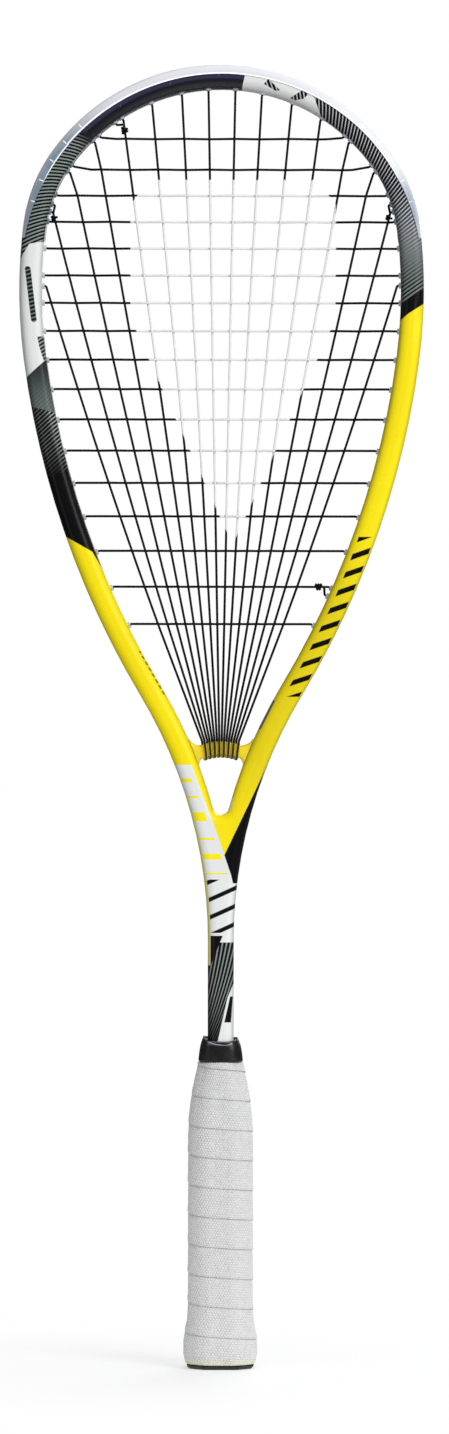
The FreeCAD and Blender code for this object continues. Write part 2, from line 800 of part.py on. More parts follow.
def outside_loop(start_name, end_name, lane, over=None):
    """Points of a string that leaves by one hole, lies in the groove and enters the next.

    over names a tie hole beside one of the two: there the string climbs over the tied one.
    """
    start = HOLES[start_name]
    end = HOLES[end_name]
    if over is not None and abs(HOLES[over] - start) < abs(HOLES[over] - end):
        return list(reversed(outside_loop(end_name, start_name, lane, over)))
    ahead = math.copysign(1.0, end - start)
    points = [(hole_point(start, CHANNEL_INSET), BEND)]
    last = end if over is None else HOLES[over] - ahead * CLIMB_LEAD
    first_station = start + ahead * LANE_LEAD
    length = abs(last - first_station) - LANE_LEAD
    if length > 0:
        steps = max(int(length / LANE_STEP), 1)
        for step in range(steps + 1):
            run = first_station + ahead * length * step / steps
            points.append((hole_point(run, CHANNEL_INSET, lane), BEND))
    end_inset = CHANNEL_INSET
    if over is not None:
        end_inset -= CLIMB
        beyond = HOLES[over] + ahead * CLIMB_LEAD
        points.append((hole_point(beyond, end_inset, CLIMB_LANE * lane), BEND))
    points.append((hole_point(end, end_inset), BEND))
    return points


BRIDGE_LEAN = 0.86
BRIDGE_PLAY = 0.1
BRIDGE_BEND = 3.0
BRIDGE_RISE = 2.2


def bridge_wrap(back, front):
    """Points of a pair of mains round the bridge: down the back, under it and up the front."""
    under = size("sleeve_diameter") / 2 + BRIDGE_PLAY
    out = size("bridge_depth") / 2 + under
    low_radius = size("bridge_arch") - size("bridge_height")
    points = []
    for index, depth in ((back, out), (front, -out)):
        x = main_x(index, size("bridge_top"))
        top = Vector(x, depth, arch_height(x, size("bridge_arch")) + BRIDGE_RISE)
        low_x = BRIDGE_LEAN * x
        foot = Vector(low_x, depth, arch_height(low_x, low_radius) - under)
        leg = [(top, BED_BEND), (foot, BRIDGE_BEND)]
        points += leg if depth > 0 else list(reversed(leg))
    return points


KNOT_OFFSET = size("string_diameter") + 0.12
KNOT_SPACE = 0.05
KNOT_PULL = 0.1
MAIN_TAIL = 0.6
CROSS_TAIL = 2.2
KNOT_STEP = 1.3
KNOT_STEPS_PER_TURN = 9
MAIN_TURNS = 13 / KNOT_STEPS_PER_TURN
CROSS_TURNS = 22 / KNOT_STEPS_PER_TURN


def tail_end(anchor_points, distance):
    """Where a string's tail ends in front of the string that it is tied to."""
    corner = anchor_points[0][0]
    along = (anchor_points[1][0] - corner).normalize()
    return corner + along * distance + Vector(0, -KNOT_OFFSET, 0)


def main_string_points():
    left_tail = tail_end(main_run(2), MAIN_TAIL)
    right_tail = tail_end(main_run(MAINS - 1), MAIN_TAIL)
    left_tie = ("tie", "main", -1)
    right_tie = ("tie", "main", 1)
    points = [(left_tail, 0.0), (mouth(left_tie), BEND)]
    points += outside_loop(left_tie, ("main", 1), SIDE_LANE)
    for index in range(1, MAINS, 2):
        points += main_run(index)
        points += bridge_wrap(index, index + 1)
        points += list(reversed(main_run(index + 1)))
        if index + 1 < MAINS:
            over = {2: left_tie, MAINS - 2: right_tie}.get(index + 1)
            points += outside_loop(("main", index + 1), ("main", index + 2), SIDE_LANE, over)
    points += outside_loop(("main", MAINS), right_tie, SIDE_LANE)
    points += [(mouth(right_tie), BEND), (right_tail, 0.0)]
    return points


def cross_string_points():
    start_tie = ("tie", "cross", -1)
    end_tie = ("tie", "cross", 1)
    points = [(tail_end(main_run(CROSS_START_MAIN), CROSS_TAIL), 0.0), (mouth(start_tie), BEND)]
    points += outside_loop(start_tie, ("cross", 1, -1), -SIDE_LANE)
    for index in range(1, CROSSES + 1):
        run = cross_run(index)
        side = 1 if index % 2 == 1 else -1
        points += run if side == 1 else list(reversed(run))
        if index < CROSSES:
            points += outside_loop(("cross", index, side), ("cross", index + 1, side), -SIDE_LANE)
    points += outside_loop(("cross", CROSSES, 1), end_tie, -SIDE_LANE)
    anchor = list(reversed(cross_run(CROSSES - 1)))
    points += [(mouth(end_tie), BEND), (tail_end(anchor, CROSS_TAIL), 0.0)]
    return points


def make_string(name, points):
    bar = round_bar([point for point, _ in points], [radius for _, radius in points],
                    size("string_diameter"))
    return feature(name, bar)


def knot(anchor_points, distance, turns):
    """Coil of string round another, below the place where the tail ends."""
    corner = anchor_points[0][0]
    along = (anchor_points[1][0] - corner).normalize()
    front = Vector(0, -1, 0)
    front = (front - along * front.dot(along)).normalize()
    side = along.cross(front)
    rise = size("string_diameter") + KNOT_SPACE
    reach = KNOT_OFFSET / math.cos(math.pi / KNOT_STEPS_PER_TURN)
    points = []
    for step in range(round(turns * KNOT_STEPS_PER_TURN) + 1):
        turned = step / KNOT_STEPS_PER_TURN
        angle = 2 * math.pi * turned
        height = distance + KNOT_STEP + rise * turned
        points.append(corner + along * height
                      + front * reach * math.cos(angle) + side * reach * math.sin(angle))
    return round_bar(points, [KNOT_OFFSET] * len(points), size("string_diameter") - KNOT_PULL)


def make_knots():
    mains = [knot(main_run(index), MAIN_TAIL, MAIN_TURNS) for index in (2, MAINS - 1)]
    anchor = list(reversed(cross_run(CROSSES - 1)))
    crosses = [knot(points, CROSS_TAIL, CROSS_TURNS) for points in (main_run(CROSS_START_MAIN), anchor)]
    return [feature("main_string_knots", Part.makeCompound(mains)),
            feature("cross_string_knots", Part.makeCompound(crosses))]


SLEEVE_END = 1.6
SLEEVE_PLAY = 0.12


def moved_towards(point, target, distance):
    return point + (target - point).normalize() * distance


def make_sleeves():
    """Eight U-shaped tubes that keep the strings off the bridge."""
    sleeves = []
    for index in range(1, MAINS, 2):
        wrap = bridge_wrap(index, index + 1)
        points = [point for point, _ in wrap]
        points[0] = moved_towards(points[0], points[1], SLEEVE_END)
        points[-1] = moved_towards(points[-1], points[-2], SLEEVE_END)
        radii = [radius for _, radius in wrap]
        outside = round_bar(points, radii, size("sleeve_diameter"))
        inside = round_bar(points, radii, size("string_diameter") + SLEEVE_PLAY)
        sleeves.append(outside.cut(inside))
    return feature("bridge_string_sleeves", Part.makeCompound(sleeves))


# --------------------------------------------------------------------------------------- handle

def octagon(width, depth, corner):
    """Eight lines of a rectangle with its corners cut off."""
    half_width = width / 2
    half_depth = depth / 2
    points = []
    for sx, sy in ((1, 1), (-1, 1), (-1, -1), (1, -1)):
        pair = [(sx * half_width, sy * (half_depth - corner)),
                (sx * (half_width - corner), sy * half_depth)]
        points += pair if sx * sy > 0 else list(reversed(pair))
    return [line(a, b) for a, b in zip(points, points[1:] + points[:1])]


def rounded_rectangle(width, depth, radius):
    """Four lines and four arcs."""
    half_width = width / 2 - radius
    half_depth = depth / 2 - radius
    edges = []
    for side in (-1, 1):
        edges.append(line((-half_width, side * depth / 2), (half_width, side * depth / 2)))
        edges.append(line((side * width / 2, -half_depth), (side * width / 2, half_depth)))
    for quarter, (sx, sy) in enumerate(((1, 1), (-1, 1), (-1, -1), (1, -1))):
        circle = Part.Circle(Vector(sx * half_width, sy * half_depth, 0), Vector(0, 0, 1), radius)
        edges.append(Part.ArcOfCircle(circle, quarter * math.pi / 2, (quarter + 1) * math.pi / 2))
    return edges


def loft(name, levels, section):
    """Body lofted through sections given as height, width, depth and corner size."""
    body = new_body(name)
    sketches = []
    for number, (height, width, depth, corner) in enumerate(levels):
        sketches.append(sketch(body, f"{name}_section_{number}", "XY_Plane",
                               section(width, depth, corner), height))
    skin = body.newObject("PartDesign::AdditiveLoft", name + "_loft")
    skin.Profile = sketches[0]
    skin.Sections = sketches[1:]
    skin.Ruled = True
    body.Tip = skin
    return body


def grip_levels():
    """Height, width, depth and corner size of the wrapped grip's outside, from the butt up."""
    width = size("grip_width")
    depth = size("grip_depth")
    butt = size("butt_width")
    top = size("collar_foot") - 0.3
    collar = size("collar_width")
    waist = depth - width
    return [
        (2.4, butt - 2.3, butt - 2.3 + waist, 8.5),
        (8.0, butt, butt + waist, 9.0),
        (14.5, butt, butt + waist, 9.0),
        (25.0, width + 1.0, depth + 1.0, 8.0),
        (35.0, width, depth, 7.7),
        (122.0, width, depth, 7.7),
        (132.0, width - 0.8, depth - 0.4, 7.6),
        (141.0, width - 2.8, depth - 1.2, 7.4),
        (151.0, width - 6.3, depth - 2.6, 7.2),
        (top, collar - 0.1, depth - 3.4, 7.0),
    ]


def shrunk(levels, amount):
    """The same sections, smaller all round by an amount."""
    return [(height, width - 2 * amount, depth - 2 * amount, corner - 0.6 * amount)
            for height, width, depth, corner in levels]


def shaft_hole(name, play, foot, top):
    """Straight bar a little larger than the shaft, to cut its hole."""
    radius = size("beam_rounding") + play
    width = size("shaft_width") + 2 * play
    depth = size("beam_depth") + 2 * play
    return loft(name, [(foot, width, depth, radius), (top, width, depth, radius)],
                rounded_rectangle)


STAPLE = {"wire": 0.9, "crown": 8.0, "legs": 5.0, "leg_spacing": 7.1, "height": 16.0, "proud": 0.35}


def staple(side, growth):
    """One staple: a crown across the side of the skirt, and two legs into the foam."""
    wire = STAPLE["wire"] + 2 * growth
    crown_length = STAPLE["crown"] + 2 * growth
    leg_length = STAPLE["legs"] + growth
    low = STAPLE["height"] - wire / 2
    outside = size("grip_width") / 2 - size("grip_thickness") + STAPLE["proud"]
    legs = []
    for end in (-1, 1):
        y = end * STAPLE["leg_spacing"] / 2 - wire / 2
        legs.append(Part.makeBox(leg_length, wire, wire, Vector(outside - leg_length, y, low)))
    crown = Part.makeBox(wire, crown_length, wire,
                         Vector(outside - wire + growth, -crown_length / 2, low))
    shape = crown.fuse(legs).removeSplitter()
    if side < 0:
        shape = shape.mirror(Vector(0, 0, 0), Vector(1, 0, 0))
    return shape


def staples(name, growth):
    return feature(name, Part.makeCompound([staple(-1, growth), staple(1, growth)]))


NECK_FOOT = 3.0
NECK_SLIMMER = 2.4
NECK_CORNER = 5.6
CORE_CORNER = 6.3
CORE_FOOT = 30.0
BORE_TOP = 170.0


def core_section():
    """Width and depth of the handle's core under the tape."""
    loss = 2 * size("grip_thickness") + 2 * size("gap")
    return size("grip_width") - loss, size("grip_depth") - loss


def neck_section(growth=0.0):
    """Width, depth and corner size of the core's neck inside the butt cap."""
    width, depth = core_section()
    return width - NECK_SLIMMER + growth, depth - NECK_SLIMMER + growth, NECK_CORNER


def make_foam():
    """Foam core round the shaft, with a slim neck that goes down into the butt cap."""
    gap = size("gap")
    skirt = size("cap_height")
    width, depth = core_section()
    levels = [(NECK_FOOT, *neck_section()), (skirt + 0.3, *neck_section())]
    levels += [(skirt + 0.4, width - 0.1, depth - 0.1, CORE_CORNER)]
    levels += [(z, w - 2 * gap, d - 2 * gap, corner)
               for z, w, d, corner in shrunk(grip_levels(), size("grip_thickness"))
               if z > CORE_FOOT]
    bore = shaft_hole("foam_bore", gap, size("shaft_foot") - 0.1, BORE_TOP)
    bored = cut("foam_with_bore", loft("foam_blank", levels, octagon), bore)
    cut("handle_foam", bored, staples("foam_staple_slots", gap))


def make_cap():
    """Butt cap: a flat flanged end with a skirt over the foam's neck, and its two staples."""
    gap = size("gap")
    thickness = size("grip_thickness")
    skirt = size("cap_height")
    butt = size("butt_width")
    core_width, core_depth = core_section()
    waist = core_depth - core_width
    flange = [(0.0, 6.5, 7.2), (1.0, 4.2, 7.4), (2.0, 3.2, 7.6),
              (2.1, 2.3 + 2 * thickness + 2 * gap, 7.2)]
    levels = [(z, butt - loss, butt - loss + waist, corner) for z, loss, corner in flange]
    levels += [(z, w - 2 * gap, d - 2 * gap, corner)
               for z, w, d, corner in shrunk(grip_levels(), thickness) if 5 < z < 20]
    levels += [(skirt, core_width + 1.0, core_depth + 1.0, 6.8)]
    neck = neck_section(2 * gap)
    hollow = loft("cap_hollow", [(NECK_FOOT - gap, *neck), (skirt + 1, *neck)], octagon)
    cup = cut("cap_cup", loft("cap_blank", levels, octagon), hollow)
    cut("butt_cap", cup, staples("cap_staple_slots", gap))
    staples("butt_cap_staples", 0)


def make_grip():
    """The wound tape as one sleeve of even thickness over the core and the cap's skirt."""
    levels = grip_levels()
    inside = shrunk(levels, size("grip_thickness"))
    low, high = inside[0], inside[-1]
    bore = [(low[0] - 1, *low[1:])] + inside[1:-1] + [(high[0] + 0.1, *high[1:])]
    cut("grip_tape", loft("grip_blank", levels, octagon), loft("grip_bore", bore, octagon))


TAPE_HEIGHT = 7.0
TAPE_SECTIONS = ((19.4, 22.2, 6.4), (15.4, 20.8, 5.8))


def make_finishing_tape():
    """Tape wound round the grip's top edge and on to the shaft."""
    foot = size("collar_foot") - 0.2
    low, high = TAPE_SECTIONS
    blank = loft("tape_blank", [(foot, *low), (foot + TAPE_HEIGHT, *high)], rounded_rectangle)
    bore = shaft_hole("tape_bore", size("gap"), foot - 1, foot + TAPE_HEIGHT + 2)
    cut("finishing_tape", blank, bore)


COLLAR_BORE_HEIGHT = 8.0
COLLAR_BORE = ((20.9, 23.1, 6.9), (15.9, 21.4, 6.2))


def make_collar():
    """Rubber collar: flared skirt, narrow neck and a rolled lip, open below over the tape."""
    foot = size("collar_foot")
    lip = size("collar_top")
    width = size("collar_width")
    neck = size("collar_neck")
    depth = size("grip_depth") - 3.3
    levels = [
        (foot, width - 0.6, depth - 0.4, 7.6),
        (foot + 0.5, width, depth + 0.2, 7.9),
        (foot + 4.0, width - 1.0, depth, 7.6),
        (lip - 3.4, neck - 0.3, depth - 1.8, 6.9),
        (lip - 2.6, neck - 0.7, depth - 2.1, 6.8),
        (lip - 2.0, neck - 0.1, depth - 1.6, 6.9),
        (lip - 0.6, neck, depth - 1.5, 6.9),
        (lip, neck - 0.9, depth - 2.3, 6.4),
    ]
    low, high = COLLAR_BORE
    flared = loft("collar_flared_bore",
                  [(foot - 1, *low), (foot + COLLAR_BORE_HEIGHT, *high)], rounded_rectangle)
    cup = cut("collar_cup", loft("collar_blank", levels, rounded_rectangle), flared)
    cut("rubber_collar", cup, shaft_hole("collar_bore", size("shaft_play"), foot - 1, lip + 1))


# ------------------------------------------------------------------------------ build and write

NODES = ["frame_moulding", "throat_bridge", "bumper_guard", "left_grommet_strip",
         "right_grommet_strip", "main_string", "cross_string", "main_string_knots",
         "cross_string_knots", "bridge_string_sleeves", "handle_foam", "butt_cap",
         "butt_cap_staples", "grip_tape", "finishing_tape", "rubber_collar"]


def build():
    make_frame()
    make_bridge()
    make_guard()
    make_strip("left_grommet_strip", True, LEFT_RUNS)
    make_strip("right_grommet_strip", False, RIGHT_RUNS)
    make_string("main_string", main_string_points())
    make_string("cross_string", cross_string_points())
    make_knots()
    make_sleeves()
    make_foam()
    make_cap()
    make_grip()
    make_finishing_tape()
    make_collar()
    doc.recompute()


def check_and_write():
    failed = [item.Name for item in doc.Objects
              if "Invalid" in item.State or "Error" in item.State]
    if failed:
        raise RuntimeError("failed objects: " + ", ".join(failed))
    os.makedirs("parts", exist_ok=True)
    pieces = {item.Label: item for item in doc.Objects if item.Label in NODES}
    for name in NODES:
        shape = pieces[name].Shape
        if shape.isNull() or not shape.isValid() or not shape.Solids:
            raise RuntimeError("bad shape: " + name)
    for name in NODES:
        pieces[name].Shape.exportStep(f"parts/{name}.step")


build()
check_and_write()
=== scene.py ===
"""Looks of the squash racket: paint, strings, guard, wound grip, rubber collar and a plain studio.

Metres in the racket's own frame: +Z runs up the racket, X lies across the string bed and the
front faces -Y.  Shader coordinates and the painted layout are in millimetres.
"""

import math

import bpy
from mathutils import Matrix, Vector, noise
from mathutils.bvhtree import BVHTree


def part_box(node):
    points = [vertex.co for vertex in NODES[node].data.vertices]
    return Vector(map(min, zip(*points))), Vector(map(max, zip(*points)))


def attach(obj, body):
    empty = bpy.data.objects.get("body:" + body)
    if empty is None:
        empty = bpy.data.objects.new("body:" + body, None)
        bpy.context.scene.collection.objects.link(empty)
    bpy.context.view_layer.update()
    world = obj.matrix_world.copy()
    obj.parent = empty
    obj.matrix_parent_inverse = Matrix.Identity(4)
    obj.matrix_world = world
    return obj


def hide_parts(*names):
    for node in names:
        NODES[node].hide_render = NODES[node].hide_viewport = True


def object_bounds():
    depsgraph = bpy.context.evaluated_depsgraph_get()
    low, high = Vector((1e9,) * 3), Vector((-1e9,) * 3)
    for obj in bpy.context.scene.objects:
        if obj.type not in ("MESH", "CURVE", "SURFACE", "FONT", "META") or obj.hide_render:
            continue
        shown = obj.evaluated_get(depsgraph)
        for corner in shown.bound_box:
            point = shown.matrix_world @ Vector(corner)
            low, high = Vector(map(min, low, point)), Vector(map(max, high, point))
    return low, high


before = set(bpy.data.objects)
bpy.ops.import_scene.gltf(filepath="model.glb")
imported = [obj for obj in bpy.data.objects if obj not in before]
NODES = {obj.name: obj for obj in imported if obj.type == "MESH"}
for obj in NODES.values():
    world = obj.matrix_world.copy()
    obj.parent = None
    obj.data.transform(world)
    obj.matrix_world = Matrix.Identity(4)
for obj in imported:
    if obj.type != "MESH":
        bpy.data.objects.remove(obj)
CAD_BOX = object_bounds()
MM = 0.001


# ------------------------------------------------------------------------------ shader helpers

def shade(red, green, blue):
    """Linear colour from display values of 0 to 255."""
    def channel(value):
        share = value / 255
        return share / 12.92 if share <= 0.04045 else ((share + 0.055) / 1.055) ** 2.4
    return (channel(red), channel(green), channel(blue), 1.0)


class Value:
    """A number that a material works out at each point; it takes part in sums like a number."""

    def __init__(self, tree, socket):
        self.tree = tree
        self.socket = socket

    def math(self, operation, *others):
        node = self.tree.nodes.new("ShaderNodeMath")
        node.operation = operation
        for index, item in enumerate((self,) + others):
            if isinstance(item, Value):
                self.tree.links.new(item.socket, node.inputs[index])
            else:
                node.inputs[index].default_value = item
        return Value(self.tree, node.outputs[0])

    def __add__(self, other):
        return self.math("ADD", other)

    def __radd__(self, other):
        return self.math("ADD", other)

    def __sub__(self, other):
        return self.math("SUBTRACT", other)

    def __rsub__(self, other):
        return self.math("MULTIPLY", -1.0) + other

    def __mul__(self, other):
        return self.math("MULTIPLY", other)

    def __rmul__(self, other):
        return self.math("MULTIPLY", other)

    def __truediv__(self, other):
        return self.math("DIVIDE", other)

    def __neg__(self):
        return self.math("MULTIPLY", -1.0)

    def smooth(self, low, high):
        """0 below low, 1 above high, with an even ramp between."""
        node = self.tree.nodes.new("ShaderNodeMapRange")
        node.interpolation_type = "SMOOTHSTEP"
        self.tree.links.new(self.socket, node.inputs["Value"])
        node.inputs["From Min"].default_value = low
        node.inputs["From Max"].default_value = high
        return Value(self.tree, node.outputs["Result"])


def least(first, *others):
    for other in others:
        first = first.math("MINIMUM", other)
    return first


def most(first, *others):
    for other in others:
        first = first.math("MAXIMUM", other)
    return first


def either(test, when_one, when_zero):
    """when_one where test is 1, when_zero where it is 0."""
    return test * when_one + (1.0 - test) * when_zero


class Paint:
    """One material: its coordinates, its patterns and its surface."""

    def __init__(self, name):
        self.material = bpy.data.materials.new(name)
        self.material.use_nodes = True
        self.tree = self.material.node_tree
        self.tree.nodes.clear()
        place = self.tree.nodes.new("ShaderNodeTexCoord")
        self.place = place.outputs["Object"]
        split = self.tree.nodes.new("ShaderNodeSeparateXYZ")
        self.tree.links.new(self.place, split.inputs[0])
        self.x, self.y, self.z = [Value(self.tree, split.outputs[i]) * (1 / MM) for i in range(3)]

    def facing(self, axis):
        """One part of the surface's normal, axis 0 to 2; the front faces -1 along axis 1."""
        geometry = self.tree.nodes.new("ShaderNodeNewGeometry")
        split = self.tree.nodes.new("ShaderNodeSeparateXYZ")
        self.tree.links.new(geometry.outputs["Normal"], split.inputs[0])
        return Value(self.tree, split.outputs[axis])

    def noise(self, per_mm, detail=2.0, stretch=(1.0, 1.0, 1.0)):
        """Cloudy noise between 0 and 1 with about per_mm blobs in a millimetre."""
        scale = self.tree.nodes.new("ShaderNodeMapping")
        self.tree.links.new(self.place, scale.inputs["Vector"])
        scale.inputs["Scale"].default_value = [per_mm / MM * share for share in stretch]
        node = self.tree.nodes.new("ShaderNodeTexNoise")
        self.tree.links.new(scale.outputs[0], node.inputs["Vector"])
        node.inputs["Scale"].default_value = 1.0
        node.inputs["Detail"].default_value = detail
        return Value(self.tree, node.outputs["Fac"])

    def mix(self, share, below, above):
        """Colour that goes from below to above as share goes from 0 to 1."""
        node = self.tree.nodes.new("ShaderNodeMix")
        node.data_type = "RGBA"
        self.join(share, node.inputs["Factor"])
        self.join(below, node.inputs[6])
        self.join(above, node.inputs[7])
        return node.outputs[2]

    def join(self, item, socket):
        if isinstance(item, Value):
            self.tree.links.new(item.socket, socket)
        elif isinstance(item, bpy.types.NodeSocket):
            self.tree.links.new(item, socket)
        else:
            socket.default_value = item

    def bump(self, height, depth_mm, onto=None):
        """Normal of a surface raised by height, from 0 to 1, times a depth."""
        node = self.tree.nodes.new("ShaderNodeBump")
        node.inputs["Strength"].default_value = 1.0
        node.inputs["Distance"].default_value = depth_mm * MM
        self.join(height, node.inputs["Height"])
        if onto is not None:
            self.tree.links.new(onto, node.inputs["Normal"])
        return node.outputs[0]

    def finish(self, **inputs):
        """Principled surface; the keywords are its inputs, with _ for a space."""
        surface = self.tree.nodes.new("ShaderNodeBsdfPrincipled")
        output = self.tree.nodes.new("ShaderNodeOutputMaterial")
        self.tree.links.new(surface.outputs[0], output.inputs["Surface"])
        for name, item in inputs.items():
            self.join(item, surface.inputs[name.replace("_", " ")])
        return self.material


EDGE = 0.14


def mask(distance, soft=EDGE):
    """1 where a distance in mm is positive, 0 where it is negative."""
    return distance.smooth(-soft, soft)


def beside(paint, start, end):
    """Distance in mm to the left of the line from start to end, both (x, z)."""
    run = end[0] - start[0]
    rise = end[1] - start[1]
    length = math.hypot(run, rise)
    return (paint.z - start[1]) * (run / length) - (paint.x - start[0]) * (rise / length)


def past(paint, *corners):
    """Distance in mm beyond a bent line through the (x, z) corners, on its left."""
    return most(*[beside(paint, start, end) for start, end in zip(corners, corners[1:])])


def stroke(paint, start, end, half, low, high):
    """Distance in mm into a straight stroke of a half width, cut off at heights low and high."""
    off_line = beside(paint, start, end).math("ABSOLUTE")
    return least(half - off_line, paint.z - low, high - paint.z)


def inside(paint, corners):
    """Distance in mm into a convex outline; its (x, z) corners run anticlockwise."""
    sides = zip(corners, corners[1:] + corners[:1])
    return least(*[beside(paint, start, end) for start, end in sides])


def lines(along, pitch, share, soft=0.12):
    """1 on lines that take up a share of each pitch of the coordinate along."""
    wave = ((along / pitch).math("FRACT") - 0.5).math("ABSOLUTE") * 2.0
    return (share - wave).smooth(-soft, soft)


# ---------------------------------------------------------------------------- the painted frame

YELLOW = shade(252, 232, 6)
BLACK = shade(8, 8, 11)
WHITE = shade(228, 229, 228)
GREY_GREEN = shade(98, 110, 106)
STRIPE_GREY = shade(176, 181, 179)
STRIPE_PALE = shade(196, 196, 204)
PANEL_DARK = shade(16, 20, 22)
STEEP_PITCH = 2.31
WHITE_FOOT = 640.0
SHOULDER = {"x": 20.9, "z": 590.7, "radius": 84.0}
CROWN = {"z": 574.0, "lip": 106.0}
HOOP_MIDDLE = 78.0
STRIPE_PITCH = 2.15
HEAD_START = 400.0
CROWN_EDGE = ((10.3, 671.0), (13.0, 684.0))
HARD_EDGE = 0.01
BAR = {"x": -100.2, "z": 564.2, "lean": -0.12, "reach": 13.2, "half": 1.5}


def swirl(paint, lean, spread=0.0):
    """Coordinate whose level lines are the slanted stripes that follow the hoop.

    The lean is the stripes' slope against a line straight out of the hoop; spread is the share
    of it that grows along the shoulder.
    """
    across = paint.x.math("ABSOLUTE") - SHOULDER["x"]
    up = paint.z - SHOULDER["z"]
    turned = across.math("ARCTAN2", up)
    out = (across * across + up * up).math("SQRT") - HOOP_MIDDLE
    lean_here = (turned * (spread / (math.pi / 2)) + (1.0 - spread)) * lean
    upper = turned * SHOULDER["radius"] + out * lean_here
    lower = (across - HOOP_MIDDLE) * lean - up + SHOULDER["radius"] * math.pi / 2
    return either(mask(up, HARD_EDGE), upper, lower)


def striped(paint, ground, line, along, share):
    """Colour of fine lines on a ground; share is how much of each pitch the lines take."""
    return paint.mix(lines(along, STRIPE_PITCH, share), ground, line)


def panel_bar(paint):
    """Distance in mm into the leaning bar with round ends on the white panel."""
    up = paint.z - BAR["z"]
    off_middle = paint.x - (up * BAR["lean"] + BAR["x"])
    beyond = (up.math("ABSOLUTE") - BAR["reach"]).math("MAXIMUM", 0.0)
    return BAR["half"] - (off_middle * off_middle + beyond * beyond).math("SQRT")


def left_hoop(paint, below):
    """Left side from the black edge on the arm up to the crown."""
    along = swirl(paint, -0.5, -0.3)
    z = paint.z
    black_edge = past(paint, (-80.1, 436), (-67.7, 429), (-63.4, 421.7))
    colour = paint.mix(mask(black_edge), below, BLACK)

    steep = paint.x * 0.9 - z
    inner_side = beside(paint, (-97, 505), (-80, 455)).smooth(1.0, 8.0)
    light_lines = lines(steep, STEEP_PITCH, 0.34) * z.smooth(466, 486)
    lined = paint.mix(light_lines * (inner_side * 0.75 + 0.25), BLACK, STRIPE_GREY)
    colour = paint.mix(mask(beside(paint, (-92, 466), (-78, 474))), colour, lined)

    fade = paint.mix(z.smooth(503, 530), GREY_GREEN, shade(30, 34, 38))
    fade = paint.mix(lines(steep, STEEP_PITCH, 0.3) * 0.5, fade, shade(60, 68, 66))
    colour = paint.mix(mask(beside(paint, (-99.5, 505), (-87, 502))), colour, fade)

    panel_foot = beside(paint, (-102.6, 520.5), (-91.5, 530.5))
    panel_top = past(paint, (-105.4, 583.5), (-101.0, 590.6), (-93, 592))
    colour = paint.mix(mask(panel_foot), colour, WHITE)
    bar = striped(paint, PANEL_DARK, shade(104, 118, 112), z - paint.x * 0.3, 0.4)
    colour = paint.mix(mask(panel_bar(paint)), colour, bar)
    wedge = inside(paint, [(-97.6, 541.9), (-95.6, 536.0), (-94.2, 529.4), (-90.5, 529.0),
                           (-91.5, 542.2)])
    wedge_lines = striped(paint, PANEL_DARK, shade(150, 154, 152), z - paint.x * 0.7, 0.45)
    colour = paint.mix(mask(wedge), colour, wedge_lines)

    shoulder = striped(paint, BLACK, shade(138, 150, 144), along, 0.42)
    # Painted reflection: the crown's black turns grey on its downward faces.
    crown = paint.mix(paint.facing(2).smooth(-0.9, 0.2), shade(44, 46, 50), shade(6, 5, 11))
    crown_ward = beside(paint, (-80.3, 650), (-70.4, 640)).smooth(-3.0, 6.0)
    return paint.mix(mask(panel_top), colour, paint.mix(crown_ward, shoulder, crown))


def right_hoop(paint, below):
    """Right side from the yellow arm up to the white crown."""
    along = swirl(paint, 0.7, 0.4)
    z = paint.z
    black_edge = past(paint, (94.7, 552), (97.9, 554.1), (105.6, 560.5))
    colour = paint.mix(mask(black_edge), below, BLACK)
    ground = paint.mix(z.smooth(572, 622), shade(114, 126, 121), BLACK)
    line = paint.mix(z.smooth(566, 618), shade(8, 11, 13), STRIPE_PALE)
    share = either(z.smooth(585, 625), 0.27, 0.5)
    lined = paint.mix(lines(along, STRIPE_PITCH, share), ground, line)
    colour = paint.mix(mask(beside(paint, (94.5, 559.5), (106, 567))), colour, lined)
    white_edge = least(beside(paint, (52.5, 656.7), (48.4, 667.5)), z - WHITE_FOOT)
    colour = paint.mix(mask(white_edge), colour, WHITE)
    patch = most(
        inside(paint, [(28.4, 671), (30.5, 671.4), (24.4, 677.4), (22, 674.7)]),
        inside(paint, [(35.7, 667.4), (38.4, 666.2), (42.9, 666.9), (46, 669.9), (42.9, 671.8)]))
    patch_paint = striped(paint, BLACK, STRIPE_PALE, along, 0.3)
    return paint.mix(mask(patch), colour, patch_paint)


def arm_marks(paint, colour):
    """Generic oblique bars on the right arm, and small dashes on both sides of the throat."""
    rise = paint.z - HEAD_START
    outer_edge = rise * 0.455 - rise * rise * 0.0015 + 66.8
    inward = (outer_edge - paint.x) * 0.905
    band = least(inward - 1.0, 8.6 - inward, paint.z - 353.0, 437.0 - paint.z)
    bars = lines(paint.z * 1.1 + inward * 0.5, 10.4, 0.36, 0.05) * mask(band)
    colour = paint.mix(bars, colour, BLACK)
    tick = stroke(paint, (27.9, 351), (20.2, 335.6), 0.5, 336.0, 351.0)
    colour = paint.mix(mask(tick), colour, GREY_GREEN)
    throat_line = stroke(paint, (9.6, 314), (5.1, 297), 0.22, 297.5, 313.5)
    breaks = lines(paint.z, 5.4, 0.84, 0.04)
    colour = paint.mix(mask(throat_line, 0.1) * breaks, colour, shade(70, 66, 20))
    left_dashes = stroke(paint, (-43.5, 378), (-28.6, 352), 0.45, 353.0, 377.0)
    dashes = lines(paint.z, 3.1, 0.6, 0.05) * 0.8
    return paint.mix(mask(left_dashes) * dashes, colour, shade(74, 70, 16))


